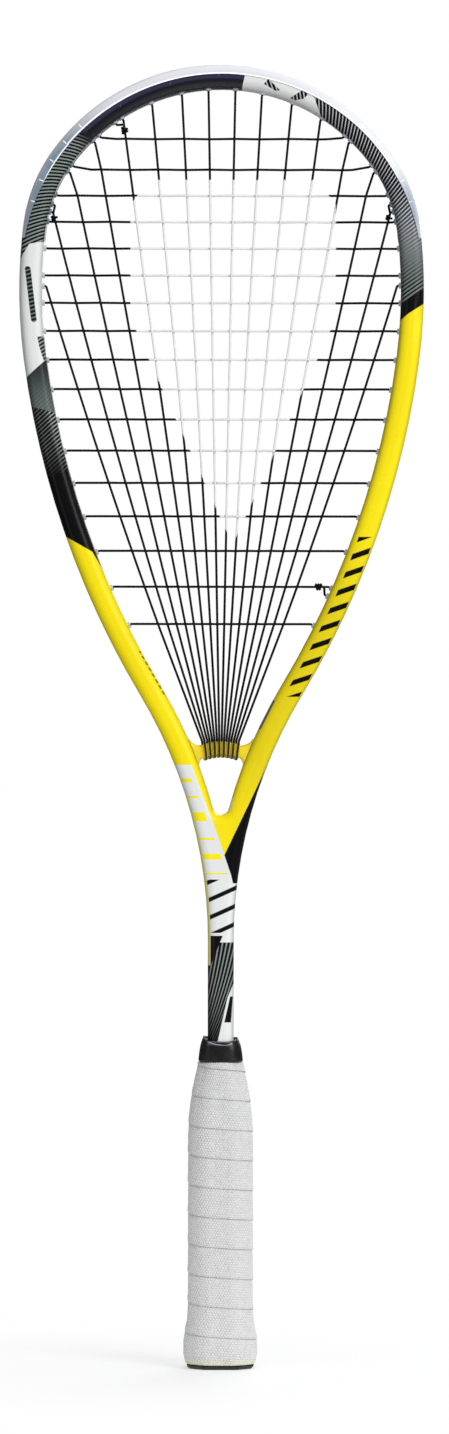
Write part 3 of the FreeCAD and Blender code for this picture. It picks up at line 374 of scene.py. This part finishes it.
def shaft_blocks(paint, colour):
    """White blocks down the left arm and shaft, the black wedge and the lined foot of the shaft."""
    x, z = paint.x, paint.z
    wedge = beside(paint, (2.4, 271.1), (22.4, 312.9))
    colour = paint.mix(mask(least(-wedge, 318.0 - z)), colour, BLACK)

    steps = [(-14.5, 317), (-9.1, 302), (-1.5, 279.6), (4.3, 264), (6.6, 254)]
    white_side = least(*[beside(paint, end, start) for start, end in zip(steps, steps[1:])])
    white = most(least(white_side, 317.2 - z), 255.0 - z)
    colour = paint.mix(mask(white), colour, WHITE)

    gaps = [(309.0, 1.0), (300.3, 0.6), (290.0, 2.4), (278.3, 0.6), (269.1, 1.5), (260.2, 0.4)]
    left_gaps = most(*[half - (z - height).math("ABSOLUTE") for height, half in gaps])
    reach = beside(paint, (-17.5, 309), (0.4, 262))
    yellow_gaps = least(left_gaps, white, 2.2 - reach)
    colour = paint.mix(mask(yellow_gaps), colour, YELLOW)

    bars = lines(z - x * 0.45, 9.4, 0.26, 0.05) * mask(least(z - 229.0, 257.0 - z))
    colour = paint.mix(bars, colour, BLACK)

    foot = paint.mix(fan(paint), shade(10, 11, 13), shade(136, 143, 140))
    corner = beside(paint, (-7.2, 228.4), (-2.6, 224.0))
    colour = paint.mix(mask(most(224.0 - z, -corner)), colour, foot)
    dark_corner = least(227.5 - z, beside(paint, (-5.6, 211), (-0.4, 224)), z - 206.0)
    colour = paint.mix(mask(dark_corner), colour, BLACK)

    white_foot = least(-beside(paint, (-5.2, 174.0), (3.6, 195.0)),
                       -beside(paint, (3.6, 195.0), (6.4, 207.5)))
    colour = paint.mix(mask(white_foot), colour, WHITE)
    block = inside(paint, [(1.9, 182.0), (5.4, 182.0), (6.4, 195.6), (4.9, 195.6)])
    colour = paint.mix(mask(block), colour, BLACK)
    left_side = least(-paint.facing(0) - 0.72, (z - 212.0) * 0.1, (300.0 - z) * 0.1)
    return paint.mix(left_side.smooth(-0.05, 0.05), colour, shade(240, 232, 150))


def fan(paint):
    """Fine lines that spread up the shaft from a point at its lower left."""
    rise = paint.z - 175.0
    lean = paint.x + 5.3 - rise * 0.4 + rise * rise * 0.0015
    return lines(lean / (rise * 0.0092 + 0.55), 2.15, 0.36) * paint.z.smooth(166, 204)


def crown_distance(paint):
    """Distance outwards from the lip of the head guard, in the part that follows the crown."""
    up = paint.z - CROWN["z"]
    return (paint.x * paint.x + up * up).math("SQRT") - CROWN["lip"]


def frame_paint():
    """Gloss paint on carbon, the same on the front and the back, with painted shade and painted
    highlights.
    """
    paint = Paint("frame_paint")
    x, z = paint.x, paint.z
    yellow = paint.mix(paint.noise(0.02), YELLOW, shade(244, 220, 4))
    # Painted shade: the yellow darkens on the right of the throat and the lower right arm, where
    # less light falls.
    right_arm_painted_shade = x.smooth(2, 22) * (1.0 - z.smooth(392, 446))
    yellow = paint.mix(right_arm_painted_shade, yellow, shade(226, 206, 10))
    colour = arm_marks(paint, yellow)
    colour = shaft_blocks(paint, colour)
    right_part = mask(-beside(paint, *CROWN_EDGE)) * mask(x - 5.0, HARD_EDGE)
    head = paint.mix(right_part, left_hoop(paint, colour), right_hoop(paint, colour))
    colour = paint.mix(mask(z - HEAD_START, HARD_EDGE), colour, head)

    # Painted highlight: a faint bluish glint along the left crown just below the guard's lip.
    crown_painted_glint = least(1.1 - (crown_distance(paint) + 1.3).math("ABSOLUTE"),
                      beside(paint, (-76, 652), (-60, 640)), 11.5 - x)
    colour = paint.mix(mask(crown_painted_glint, 0.8) * 0.75, colour, shade(58, 55, 86))
    # Painted shade: faces that turn to the left or right are darkened towards olive-brown.
    edge = paint.facing(0).math("ABSOLUTE").smooth(0.55, 1.0)
    colour = paint.mix(edge * 0.38, colour, shade(44, 42, 30))
    scuffs = paint.noise(0.9, 6.0, (1.0, 1.0, 0.25)).smooth(0.66, 0.74) * z.smooth(520, 680)
    colour = paint.mix(scuffs * 0.18, colour, shade(190, 192, 196))
    peel = paint.noise(0.7, 1.0)
    normal = paint.bump(peel, 0.012)
    return paint.finish(Base_Color=colour, Roughness=0.4 + scuffs * 0.25, Coat_Weight=0.1,
                        Coat_Roughness=0.16, Specular_IOR_Level=0.16, Normal=normal)


def bridge_paint():
    """The arms' yellow on the bridge, with a little dust."""
    paint = Paint("bridge_paint")
    colour = paint.mix(paint.noise(0.05), YELLOW, shade(240, 210, 6))
    dust = paint.noise(0.6, 5.0).smooth(0.6, 0.75)
    colour = paint.mix(dust * 0.15, colour, shade(120, 104, 20))
    return paint.finish(Base_Color=colour, Roughness=0.32 + dust * 0.2, Coat_Weight=0.4,
                        Coat_Roughness=0.15, Normal=paint.bump(paint.noise(0.7, 1.0), 0.01))


# ------------------------------------------------------------------------- plastics and strings

RIB_PITCH = 12.2
SHOULDER_LIP = 78.95
CROWN_FOOT = 643.0


def guard_plastic():
    """Clear nylon, milky at the crown and blue-grey on the flanks, with fine ribs across; the ribs
    and the lip's edge carry a painted highlight that glows faintly.
    """
    paint = Paint("guard_plastic")
    x, z = paint.x, paint.z
    crown_out = crown_distance(paint)
    across = x.math("ABSOLUTE") - SHOULDER["x"]
    up = z - SHOULDER["z"]
    shoulder_out = (across * across + up * up).math("SQRT") - SHOULDER_LIP
    from_lip = either(mask(z - CROWN_FOOT, HARD_EDGE), crown_out, shoulder_out)

    along = swirl(paint, 0.0)
    flank = z.smooth(604, 610) * (1.0 - z.smooth(652, 656)) * (0.55 + 0.45 * mask(-x))
    rib_reach = mask(least(from_lip - 1.0, 3.4 - from_lip))
    ribs = lines(along - 5.0, RIB_PITCH, 0.045, 0.02) * flank * rib_reach
    # Painted highlight: a bright line along the lip's edge.
    edge = mask(0.3 - (from_lip - 0.35).math("ABSOLUTE"), 0.2)
    low_flank = either(mask(x), 1.0 - z.smooth(612, 634), 1.0 - z.smooth(636, 668))
    clear = low_flank * (1.0 - from_lip.smooth(1.5, 6.0) * 0.75)
    clear = clear * (0.8 + 0.2 * mask(-x))
    crown_tone = paint.mix(crown_out.smooth(0.5, 9.0), shade(224, 224, 230), shade(251, 251, 253))
    body = paint.mix(clear, crown_tone, shade(142, 164, 184))
    cloud = paint.noise(0.12, 4.0)
    body = paint.mix(cloud.smooth(0.4, 0.7) * 0.2, body, shade(214, 222, 234))
    # Painted highlight: the ribs and the lip's edge are painted white and glow faintly.
    colour = paint.mix(most(ribs, edge), body, shade(255, 255, 255))
    scratches = paint.noise(0.5, 8.0, (1.0, 1.0, 6.0)).smooth(0.6, 0.75)
    normal = paint.bump(ribs + scratches * 0.15, 0.12)
    return paint.finish(Base_Color=colour, Roughness=0.34 + scratches * 0.2,
                        Transmission_Weight=clear * 0.3, IOR=1.45, Coat_Weight=0.2,
                        Coat_Roughness=0.2, Emission_Color=colour,
                        Emission_Strength=most(ribs, edge) * 0.3, Normal=normal)


def grommet_nylon():
    paint = Paint("grommet_nylon")
    grain = paint.noise(1.2, 5.0)
    colour = paint.mix(grain.smooth(0.35, 0.7), shade(206, 210, 214), shade(232, 235, 238))
    return paint.finish(Base_Color=colour, Roughness=0.4 + grain * 0.15, Transmission_Weight=0.15,
                        Normal=paint.bump(grain, 0.03))


SHIELD = [(6, 433), (60, 552), (60, 612), (50, 625), (-38, 625), (-48, 612), (-48, 552)]


def string_fibre():
    """Black multifilament with a plain generic shield stencilled in white."""
    paint = Paint("string_fibre")
    shield = inside(paint, SHIELD)
    ragged = (paint.noise(1.6, 2.0) - 0.5) * 1.2
    inked = mask(shield + ragged, 0.3) * (1.0 - paint.facing(1).smooth(0.1, 0.7))
    patchy = paint.noise(2.2, 3.0).smooth(0.3, 0.42)
    twist_with_painted_highlight = lines(paint.x + paint.z + paint.y * 2.0, 0.42, 0.6, 0.4)
    # Painted highlight: the twist's ridges are a lighter black.
    fibre = paint.mix(twist_with_painted_highlight * 0.5, shade(3, 3, 4), shade(15, 15, 17))
    colour = paint.mix(inked * (patchy * 0.25 + 0.75), fibre, shade(236, 236, 236))
    rough = either(inked, 0.6, 0.4)
    return paint.finish(Base_Color=colour, Roughness=rough, Specular_IOR_Level=0.2,
                        Normal=paint.bump(twist_with_painted_highlight, 0.03))


def sleeve_tube():
    """Clear smoky tube: the string shows through its middle and the bridge through its sides."""
    paint = Paint("sleeve_tube")
    grain = paint.noise(1.5, 4.0)
    side = paint.facing(0).math("ABSOLUTE").smooth(0.6, 0.85)
    colour = paint.mix(grain, shade(8, 8, 9), shade(20, 19, 20))
    colour = paint.mix(side * 0.85, colour, shade(250, 228, 18))
    return paint.finish(Base_Color=colour, Roughness=0.42 + grain * 0.2,
                        Normal=paint.bump(grain, 0.03))


def moulded_foam():
    paint = Paint("moulded_foam")
    cells = paint.noise(1.8, 6.0)
    colour = paint.mix(cells.smooth(0.35, 0.7), shade(176, 168, 140), shade(214, 207, 184))
    return paint.finish(Base_Color=colour, Roughness=0.85, Normal=paint.bump(cells, 0.15))


def cap_plastic():
    paint = Paint("cap_plastic")
    grain = paint.noise(1.4, 6.0)
    worn = paint.noise(0.3, 4.0).smooth(0.5, 0.8)
    colour = paint.mix(worn * 0.6, shade(15, 15, 16), shade(52, 52, 54))
    return paint.finish(Base_Color=colour, Roughness=0.5 + worn * 0.25,
                        Normal=paint.bump(grain, 0.05))


def staple_wire():
    paint = Paint("staple_wire")
    drawn = paint.noise(3.0, 3.0, (1.0, 0.15, 1.0))
    colour = paint.mix(drawn, shade(150, 152, 156), shade(206, 208, 212))
    return paint.finish(Base_Color=colour, Metallic=1.0, Roughness=0.25 + drawn * 0.2,
                        Normal=paint.bump(drawn, 0.01))


def adhesive_tape():
    """Black finishing tape with the faint lines of its backing."""
    paint = Paint("adhesive_tape")
    weave = lines(paint.z, 0.5, 0.5, 0.4)
    crease = paint.noise(0.35, 5.0, (1.0, 1.0, 2.5)).smooth(0.5, 0.72)
    colour = paint.mix(crease * 0.7, shade(16, 16, 18), shade(56, 56, 60))
    return paint.finish(Base_Color=colour, Roughness=0.3 + crease * 0.3,
                        Normal=paint.bump(weave * 0.3 + crease, 0.06))


def collar_rubber():
    """Black rubber with a painted highlight on its front rim, where it catches the light."""
    paint = Paint("collar_rubber")
    grain = paint.noise(2.0, 5.0)
    bloom = paint.noise(0.15, 3.0).smooth(0.4, 0.75)
    colour = paint.mix(bloom * 0.7, shade(11, 11, 13), shade(26, 26, 30))
    front_rim = least(-paint.y - 8.5, 6.9 - (paint.x + 0.4).math("ABSOLUTE"), paint.z - 169.6,
                      172.3 - paint.z)
    # Painted highlight: the upward faces of the front rim are painted pale grey.
    rim_painted_highlight = paint.facing(2).smooth(0.12, 0.6) * front_rim.smooth(0.0, 0.8)
    colour = paint.mix(rim_painted_highlight * 0.8, colour, shade(196, 196, 204))
    return paint.finish(Base_Color=colour, Roughness=0.36 + bloom * 0.2, Sheen_Weight=0.03,
                        Specular_IOR_Level=0.4, Normal=paint.bump(grain, 0.03))


# --------------------------------------------------------------------------------- wound grip

TAPE_PITCH = 15.6 * MM
WEAVE_ROW = 1.3
WEAVE_STITCH = 1.6
TAPE_OVERLAP = 2.4 * MM
TAPE_THICKNESS = 1.5 * MM
SEAM_SAG = 0.3 * MM
SEAM_LEVEL = 1.4 * MM
TOP_SEAM_DROP = 3.3 * MM
STEPS_PER_TURN = 168
FIRST_TURN = 1.5
SPARE_TURNS = 2.5
FACE_STEPS = 15
SHORTEST_SECTION = 1.2 * MM
END_FADE = 3 * MM
EDGE_ROUND = 0.45 * MM
EDGE_DROP = 0.5 * MM
LIP_RISE = 0.34 * MM
TUCK_DEPTH = 1.0 * MM
SWELL = 0.14 * MM
FACE_INSET = 0.15 * MM
SOFT_WAVE = 0.10 * MM
DEEPEST = 1.82 * MM
THINNEST = 0.3 * MM
GRIP_RADIUS = 17.0
SEAM_SHADE = 0.024
SOFTENING = (-14, -9, -4.5, 0, 4.5, 9, 14)


def seam_height(angle, start):
    """Height of the tape's lower edge; angle runs on from turn to turn, 0 at the front."""
    return (start - TAPE_PITCH * angle / (2 * math.pi) - SEAM_SAG * math.cos(angle)
            + SEAM_LEVEL * math.sin(angle))


def grip_weave(start):
    """Off-white cushioned tape with a fine embossed weave that runs along the winding, with painted
    shade in the weave's hollows and a painted shadow along each seam.
    """
    paint = Paint("grip_weave")
    turn = paint.x.math("ARCTAN2", -paint.y)
    pitch = TAPE_PITCH / MM
    across = (paint.z + turn * (pitch / (2 * math.pi)) + turn.math("COSINE") * (SEAM_SAG / MM)
              - turn.math("SINE") * (SEAM_LEVEL / MM))
    around = turn * GRIP_RADIUS
    row = across / WEAVE_ROW
    rows = (row * math.pi).math("SINE").math("ABSOLUTE")
    shift = row.math("FLOOR") * 0.5
    stitches = ((around / WEAVE_STITCH + shift) * math.pi).math("SINE").math("ABSOLUTE")
    patchy = paint.noise(0.35, 4.0).smooth(0.3, 0.65)
    weave = rows * stitches * (0.55 + 0.45 * patchy)
    from_seam = ((across - start / MM) / pitch).math("FRACT")
    clear_of_seam_shadow = (0.5 - (from_seam - 0.5).math("ABSOLUTE")).smooth(0.0, SEAM_SHADE)
    cloud = paint.noise(0.08, 3.0)
    grime = paint.noise(0.5, 6.0).smooth(0.45, 0.75)
    colour = paint.mix(cloud, shade(222, 222, 221), shade(234, 234, 232))
    colour = paint.mix(grime * 0.14, colour, shade(196, 195, 188))
    # Painted shade: the hollows between the weave's raised stitches are darkened.
    colour = paint.mix((1.0 - weave) * 0.42, colour, shade(178, 179, 179))
    # Painted shadow: a grey line along each seam under the edge of the turn above, of uneven
    # strength.
    uneven = paint.noise(0.12, 2.0).smooth(0.3, 0.7) * 0.35 + 0.2
    colour = paint.mix((1.0 - clear_of_seam_shadow) * uneven, colour, shade(120, 120, 118))
    foot = 1.0 - paint.z.smooth(3.2, 6.0)
    colour = paint.mix(foot * 0.7, colour, shade(226, 226, 196))
    normal = paint.bump(weave, 0.42, paint.bump(grime, 0.1))
    return paint.finish(Base_Color=colour, Roughness=0.72, Sheen_Weight=0.1, Normal=normal)


def outside_of(node):
    """Function that gives the distance from the Z axis to a CAD node's outside."""
    mesh = NODES[node].data
    corners = [vertex.co.copy() for vertex in mesh.vertices]
    tree = BVHTree.FromPolygons(corners, [tuple(face.vertices) for face in mesh.polygons])
    low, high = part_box(node)
    start = 2.0 * (high - low).length

    def straight(angle, level):
        away = Vector((math.sin(angle), -math.cos(angle), 0.0))
        hit = tree.ray_cast(away * start + Vector((0.0, 0.0, level)), -away)[0]
        return math.hypot(hit.x, hit.y)

    def radius(angle, height):
        level = min(max(height, low.z + 0.05 * MM), high.z - 0.05 * MM)
        around = [straight(angle + math.radians(turn), level) for turn in SOFTENING]
        return sum(around) / len(around)
    return radius


def ramp(value, low, high):
    """0 below low, 1 above high, with an even ramp between."""
    share = min(max((value - low) / (high - low), 0.0), 1.0)
    return share * share * (3 - 2 * share)


def tape_rise(above, seam_share, under_share):
    """How far the tape's face stands off its plain shape, by the height above its lower edge."""
    lip = LIP_RISE * seam_share * (1 - ramp(above, 1.2 * MM, TAPE_OVERLAP + 2.0 * MM))
    tuck = TUCK_DEPTH * under_share * ramp(above, TAPE_PITCH - 1.0 * MM, TAPE_PITCH + 0.9 * MM)
    swell = SWELL * math.sin(math.pi * min(above / TAPE_PITCH, 1.0))
    return lip - tuck + swell


def tape_section(angle, radius, foot, top, start):
    """Closed loop of points round the tape's section at one place along the winding, or None."""
    seam = seam_height(angle, start)
    low = max(seam, foot)
    high = min(seam + TAPE_PITCH + TAPE_OVERLAP, top)
    length = high - low
    if length < SHORTEST_SECTION:
        return None
    away = Vector((math.sin(angle), -math.cos(angle), 0.0))
    seam_share = ramp(seam, foot, foot + END_FADE)
    under_share = ramp(top - seam - TAPE_PITCH, 0.0, END_FADE)
    heights = [0.0, 0.15 * EDGE_ROUND, 0.5 * EDGE_ROUND, EDGE_ROUND]
    body = length - 2 * EDGE_ROUND
    heights += [EDGE_ROUND + body * step / FACE_STEPS for step in range(1, FACE_STEPS)]
    heights += [length - EDGE_ROUND, length - 0.4 * EDGE_ROUND, length]
    outer = []
    inner = []
    for above in heights:
        height = low + above
        to_end = 1 - min(min(above, length - above) / EDGE_ROUND, 1.0)
        rounding = EDGE_DROP * (1 - math.sqrt(max(0.0, 1 - to_end ** 2)))
        rise = tape_rise(height - seam, seam_share, under_share)
        plain = radius(angle, height)
        soft = noise.noise(Vector((math.sin(angle) * 2.0, math.cos(angle) * 2.0, height * 120)))
        face = plain - FACE_INSET + rise + SOFT_WAVE * soft - rounding
        back = max(face - TAPE_THICKNESS, plain - DEEPEST)
        outer.append(away * face + Vector((0.0, 0.0, height)))
        inner.append(away * min(back, face - THINNEST) + Vector((0.0, 0.0, height)))
    return outer + list(reversed(inner))


def mesh_object(name, corners, faces, material):
    """Smooth-shaded object in the scene, made from corners and faces."""
    mesh = bpy.data.meshes.new(name)
    mesh.from_pydata(corners, [], faces)
    mesh.validate()
    mesh.update()
    mesh.shade_smooth()
    mesh.materials.append(material)
    item = bpy.data.objects.new(name, mesh)
    bpy.context.scene.collection.objects.link(item)
    return item


def loops_to_mesh(name, loops, material, closed_ring):
    """Skin through equal closed loops; closed_ring joins the last to the first, else caps both."""
    count = len(loops[0])
    corners = [point for loop in loops for point in loop]
    faces = []
    pairs = [(index, index + 1) for index in range(len(loops) - 1)]
    if closed_ring:
        pairs.append((len(loops) - 1, 0))
    for first, second in pairs:
        for step in range(count):
            ahead = (step + 1) % count
            faces.append((first * count + step, first * count + ahead,
                          second * count + ahead, second * count + step))
    if not closed_ring:
        half = count // 2
        for loop, flip in ((0, True), (len(loops) - 1, False)):
            for step in range(half - 1):
                face = [loop * count + step, loop * count + step + 1,
                        loop * count + count - 2 - step, loop * count + count - 1 - step]
                faces.append(tuple(reversed(face)) if flip else tuple(face))
    return mesh_object(name, corners, faces, material)


def wind_grip():
    """The grip as one long tape wound down a helix, each turn's lower edge over the next."""
    low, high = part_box("grip_tape")
    radius = outside_of("grip_tape")
    start = high.z - TOP_SEAM_DROP
    turns = (high.z - low.z) / TAPE_PITCH + SPARE_TURNS
    loops = []
    for step in range(int(turns * STEPS_PER_TURN)):
        angle = 2 * math.pi * (step / STEPS_PER_TURN - FIRST_TURN)
        section = tape_section(angle, radius, low.z, high.z, start)
        if section:
            loops.append(section)
    grip = loops_to_mesh("grip_wrap", loops, grip_weave(start), False)
    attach(grip, "racket")
    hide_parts("grip_tape")


# ------------------------------------------------------------------------------- rubber collar

RING_STEPS = 144
COLLAR_ROUNDING = 0.66
FRONT_DIP = 3.2 * MM
LEFT_HORN = 0.8 * MM
LIP_WAVE = 0.2 * MM
FOOT_TILT = 0.1 * MM
SKIRT_HEIGHT = 6.0


def rounded_ring(half_width, half_depth, rounding, height):
    """Points round a rounded rectangle, evenly spaced, from the front's left end."""
    straight_x = half_width - rounding
    straight_y = half_depth - rounding
    quarter = rounding * math.pi / 2
    sides = [2 * straight_x, quarter, 2 * straight_y, quarter] * 2
    total = sum(sides)
    corners = [(straight_x, -straight_y, -90), (straight_x, straight_y, 0),
               (-straight_x, straight_y, 90), (-straight_x, -straight_y, 180)]
    points = []
    for step in range(RING_STEPS):
        run = total * step / RING_STEPS
        index = 0
        while run > sides[index]:
            run -= sides[index]
            index += 1
        quadrant = index // 2
        if index % 2:
            centre_x, centre_y, begin = corners[quadrant]
            angle = math.radians(begin) + run / rounding
            x = centre_x + rounding * math.cos(angle)
            y = centre_y + rounding * math.sin(angle)
        else:
            x, y = [(-straight_x + run, -half_depth), (half_width, -straight_y + run),
                    (straight_x - run, half_depth), (-half_width, straight_y - run)][quadrant]
        points.append(Vector((x, y, height(x, y))))
    return points


def collar_profile(rise, half, deep):
    """Height, half width, half depth and share of the front's dip, up the outside and down inside.

    The rim turns over into the roll, and the bore goes down over the finishing tape.  Millimetres.
    """
    skirt = [(0.0, half - 0.75, deep - 0.75, 0), (0.0, half - 0.3, deep - 0.3, 0),
             (0.25, half - 0.04, deep - 0.06, 0), (0.8, half, deep, 0),
             (1.5, half - 0.14, deep - 0.15, 0), (3.5, half - 0.25, deep - 0.25, 0),
             (SKIRT_HEIGHT, half - 0.7, deep - 0.45, 0.15)]
    rim = [(-4.2, 10.65, 12.1, 0.45), (-2.4, 9.95, 11.95, 0.8), (-1.0, 9.35, 11.8, 1.0),
           (-0.25, 9.1, 11.65, 1.0), (0.0, 8.9, 11.4, 1.0), (-0.2, 8.65, 11.1, 1.0),
           (-0.9, 8.5, 10.9, 1.0), (-1.3, 8.3, 10.7, 0.9)]
    roll = [(-1.2, 8.05, 10.55, 0.5), (-0.9, 7.8, 10.4, 0.2), (-0.9, 7.4, 10.1, 0.15),
            (-1.2, 7.14, 9.85, 0.15), (-1.8, 7.06, 9.78, 0.15)]
    bore = [(rise - 3.6, 7.12, 9.85, 0), (rise - 4.8, 8.3, 11.0, 0),
            (4.0, half - 2.4, deep - 1.35, 0), (0.6, half - 1.2, deep - 1.0, 0)]
    lip = [(rise + above, wide, thick, dip) for above, wide, thick, dip in rim + roll]
    return skirt + lip + bore


def roll_collar():
    """Stretchy rubber collar: its rim dips at the front and an inner roll hugs the shaft."""
    low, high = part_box("rubber_collar")
    profile = collar_profile((high.z - low.z) / MM, (high.x - low.x) / 2 / MM,
                             (high.y - low.y) / 2 / MM)
    loops = []
    for above, half, deep, dip in profile:
        def height(x, y, above=above, half=half, deep=deep, dip=dip):
            across = x / (half * MM)
            front = max(-y / (deep * MM), 0.0) ** 2
            angle = math.atan2(y, x)
            wave = math.sin(3 * angle + 0.6) + 0.5 * math.sin(7 * angle + 1.3)
            side = max(-across, 0.0) ** 3 * (1 - front)
            hollow = front * (1 - 0.8 * across * across) * (1 + 0.15 * across)
            tilt = FOOT_TILT * (1 - across) * max(1 - above / SKIRT_HEIGHT, 0.0)
            return (low.z + above * MM + tilt
                    + dip * (LEFT_HORN * side + LIP_WAVE * wave - FRONT_DIP * hollow))
        rounding = min(half, deep) * COLLAR_ROUNDING * MM
        loops.append(rounded_ring(half * MM, deep * MM, rounding, height))
    collar = loops_to_mesh("collar_sleeve", loops, collar_rubber(), True)
    rounded = collar.modifiers.new("rounding", "SUBSURF")
    rounded.levels = 1
    rounded.render_levels = 1
    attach(collar, "collar")
    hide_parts("rubber_collar")


# ------------------------------------------------------------------------------ dress the frame

def dress(node, material):
    """Gives a CAD node one material on all its faces."""
    item = NODES[node]
    item.data.materials.clear()
    item.data.materials.append(material)
    for face in item.data.polygons:
        face.material_index = 0


def dress_all():
    """Materials of the CAD nodes that stay in view."""
    strings = string_fibre()
    grommets = grommet_nylon()
    dress("frame_moulding", frame_paint())
    dress("throat_bridge", bridge_paint())
    dress("bumper_guard", guard_plastic())
    dress("left_grommet_strip", grommets)
    dress("right_grommet_strip", grommets)
    for node in ("main_string", "cross_string", "main_string_knots", "cross_string_knots"):
        dress(node, strings)
    dress("bridge_string_sleeves", sleeve_tube())
    dress("handle_foam", moulded_foam())
    dress("butt_cap", cap_plastic())
    dress("butt_cap_staples", staple_wire())
    dress("finishing_tape", adhesive_tape())


# --------------------------------------------------------------------------------------- studio

IMAGE_ASPECT = 449 / 1434
RACKET_SHARE = 0.908
FOOT_SHARE = 0.0464
SIDE_SHIFT = 0.0076
ROLL = math.radians(-0.077)
CAMERA_DISTANCE = 3.4
LIGHTS = (("key", (1.3, -1.7, 1.5), (1.1, 1.4), 27.0),
          ("fill", (-1.8, -1.6, 0.5), (1.0, 1.6), 5.0),
          ("back", (0.6, 1.8, 1.2), (1.4, 1.4), 16.0))
BRIGHT_SIDE = (0.7, -0.3, 0.65)
SKY_MEAN = 0.52
SKY_SLOPE = 0.42
GLOSSY_CUT = 0.85
FLOOR_RADIUS = 0.45
FLOOR_SIDES = 96
FLOOR_FADE = (30.0, 300.0)


def aim_camera(low, high):
    """Square on to the strings from far away, with the racket filling most of a tall picture."""
    picture = (high.z - low.z) / RACKET_SHARE
    centre = low.z - FOOT_SHARE * picture + picture / 2
    camera = bpy.data.cameras.new("camera")
    camera.sensor_width = 36.0
    camera.lens = camera.sensor_width * CAMERA_DISTANCE / picture
    camera.clip_end = 50.0
    item = bpy.data.objects.new("camera", camera)
    bpy.context.scene.collection.objects.link(item)
    item.location = (SIDE_SHIFT * picture * IMAGE_ASPECT, -CAMERA_DISTANCE, centre)
    item.rotation_euler = (math.pi / 2, ROLL, 0.0)
    bpy.context.scene.camera = item


def area_light(name, place, size, power, target):
    """Soft rectangular light that faces the target."""
    light = bpy.data.lights.new(name, "AREA")
    light.shape = "RECTANGLE"
    light.size, light.size_y = size
    light.energy = power
    item = bpy.data.objects.new(name, light)
    item.location = place
    item.rotation_euler = (Vector(target) - Vector(place)).to_track_quat("-Z", "Y").to_euler()
    bpy.context.scene.collection.objects.link(item)


def light_studio(middle):
    """Three soft lights, a sky brighter on one side, and plain white where the camera sees it."""
    for light in LIGHTS:
        area_light(*light, middle)
    world = bpy.data.worlds.new("studio")
    bpy.context.scene.world = world
    world.use_nodes = True
    tree = world.node_tree
    tree.nodes.clear()
    seen = tree.nodes.new("ShaderNodeBackground")
    seen.inputs["Color"].default_value = (1, 1, 1, 1)
    around = tree.nodes.new("ShaderNodeBackground")
    around.inputs["Color"].default_value = (0.97, 0.98, 1.0, 1)
    rays = tree.nodes.new("ShaderNodeLightPath")
    place = tree.nodes.new("ShaderNodeTexCoord")
    slope = tree.nodes.new("ShaderNodeVectorMath")
    slope.operation = "DOT_PRODUCT"
    slope.inputs[1].default_value = Vector(BRIGHT_SIDE).normalized()
    tree.links.new(place.outputs["Generated"], slope.inputs[0])
    glossy = Value(tree, rays.outputs["Is Glossy Ray"])
    sky = Value(tree, slope.outputs["Value"]) * SKY_SLOPE + SKY_MEAN
    strength = sky * (1.0 - glossy * GLOSSY_CUT)
    tree.links.new(strength.socket, around.inputs["Strength"])
    mixed = tree.nodes.new("ShaderNodeMixShader")
    output = tree.nodes.new("ShaderNodeOutputWorld")
    tree.links.new(rays.outputs["Is Camera Ray"], mixed.inputs[0])
    tree.links.new(around.outputs[0], mixed.inputs[1])
    tree.links.new(seen.outputs[0], mixed.inputs[2])
    tree.links.new(mixed.outputs[0], output.inputs["Surface"])


def lay_floor():
    """Pale disc under the butt that fades into the white surroundings."""
    paint = Paint("floor_paint")
    colour = paint.mix(paint.noise(0.01), shade(246, 246, 246), shade(250, 250, 250))
    paint.finish(Base_Color=colour, Roughness=0.7)
    lit = paint.tree.nodes["Principled BSDF"]
    # Painted light: the floor glows, at half strength in its middle and at full strength towards
    # its rim, so it blends into the white and its contact shadow stays faint.
    glow = paint.tree.nodes.new("ShaderNodeEmission")
    glow.inputs["Color"].default_value = (1, 1, 1, 1)
    reach = (paint.x * paint.x + paint.y * paint.y).math("SQRT")
    fade = reach.smooth(*FLOOR_FADE) * 0.5 + 0.5
    blend = paint.tree.nodes.new("ShaderNodeMixShader")
    paint.join(fade, blend.inputs[0])
    paint.tree.links.new(lit.outputs[0], blend.inputs[1])
    paint.tree.links.new(glow.outputs[0], blend.inputs[2])
    paint.tree.links.new(blend.outputs[0], paint.tree.nodes["Material Output"].inputs["Surface"])
    turns = [2 * math.pi * side / FLOOR_SIDES for side in range(FLOOR_SIDES)]
    rim = [(FLOOR_RADIUS * math.cos(turn), FLOOR_RADIUS * math.sin(turn), 0.0) for turn in turns]
    floor = mesh_object("floor", rim, [tuple(range(FLOOR_SIDES))], paint.material)


dress_all()
wind_grip()
roll_collar()
aim_camera(*CAD_BOX)
light_studio((CAD_BOX[0] + CAD_BOX[1]) / 2)
lay_floor()
bpy.context.scene.view_settings.view_transform = "Standard"
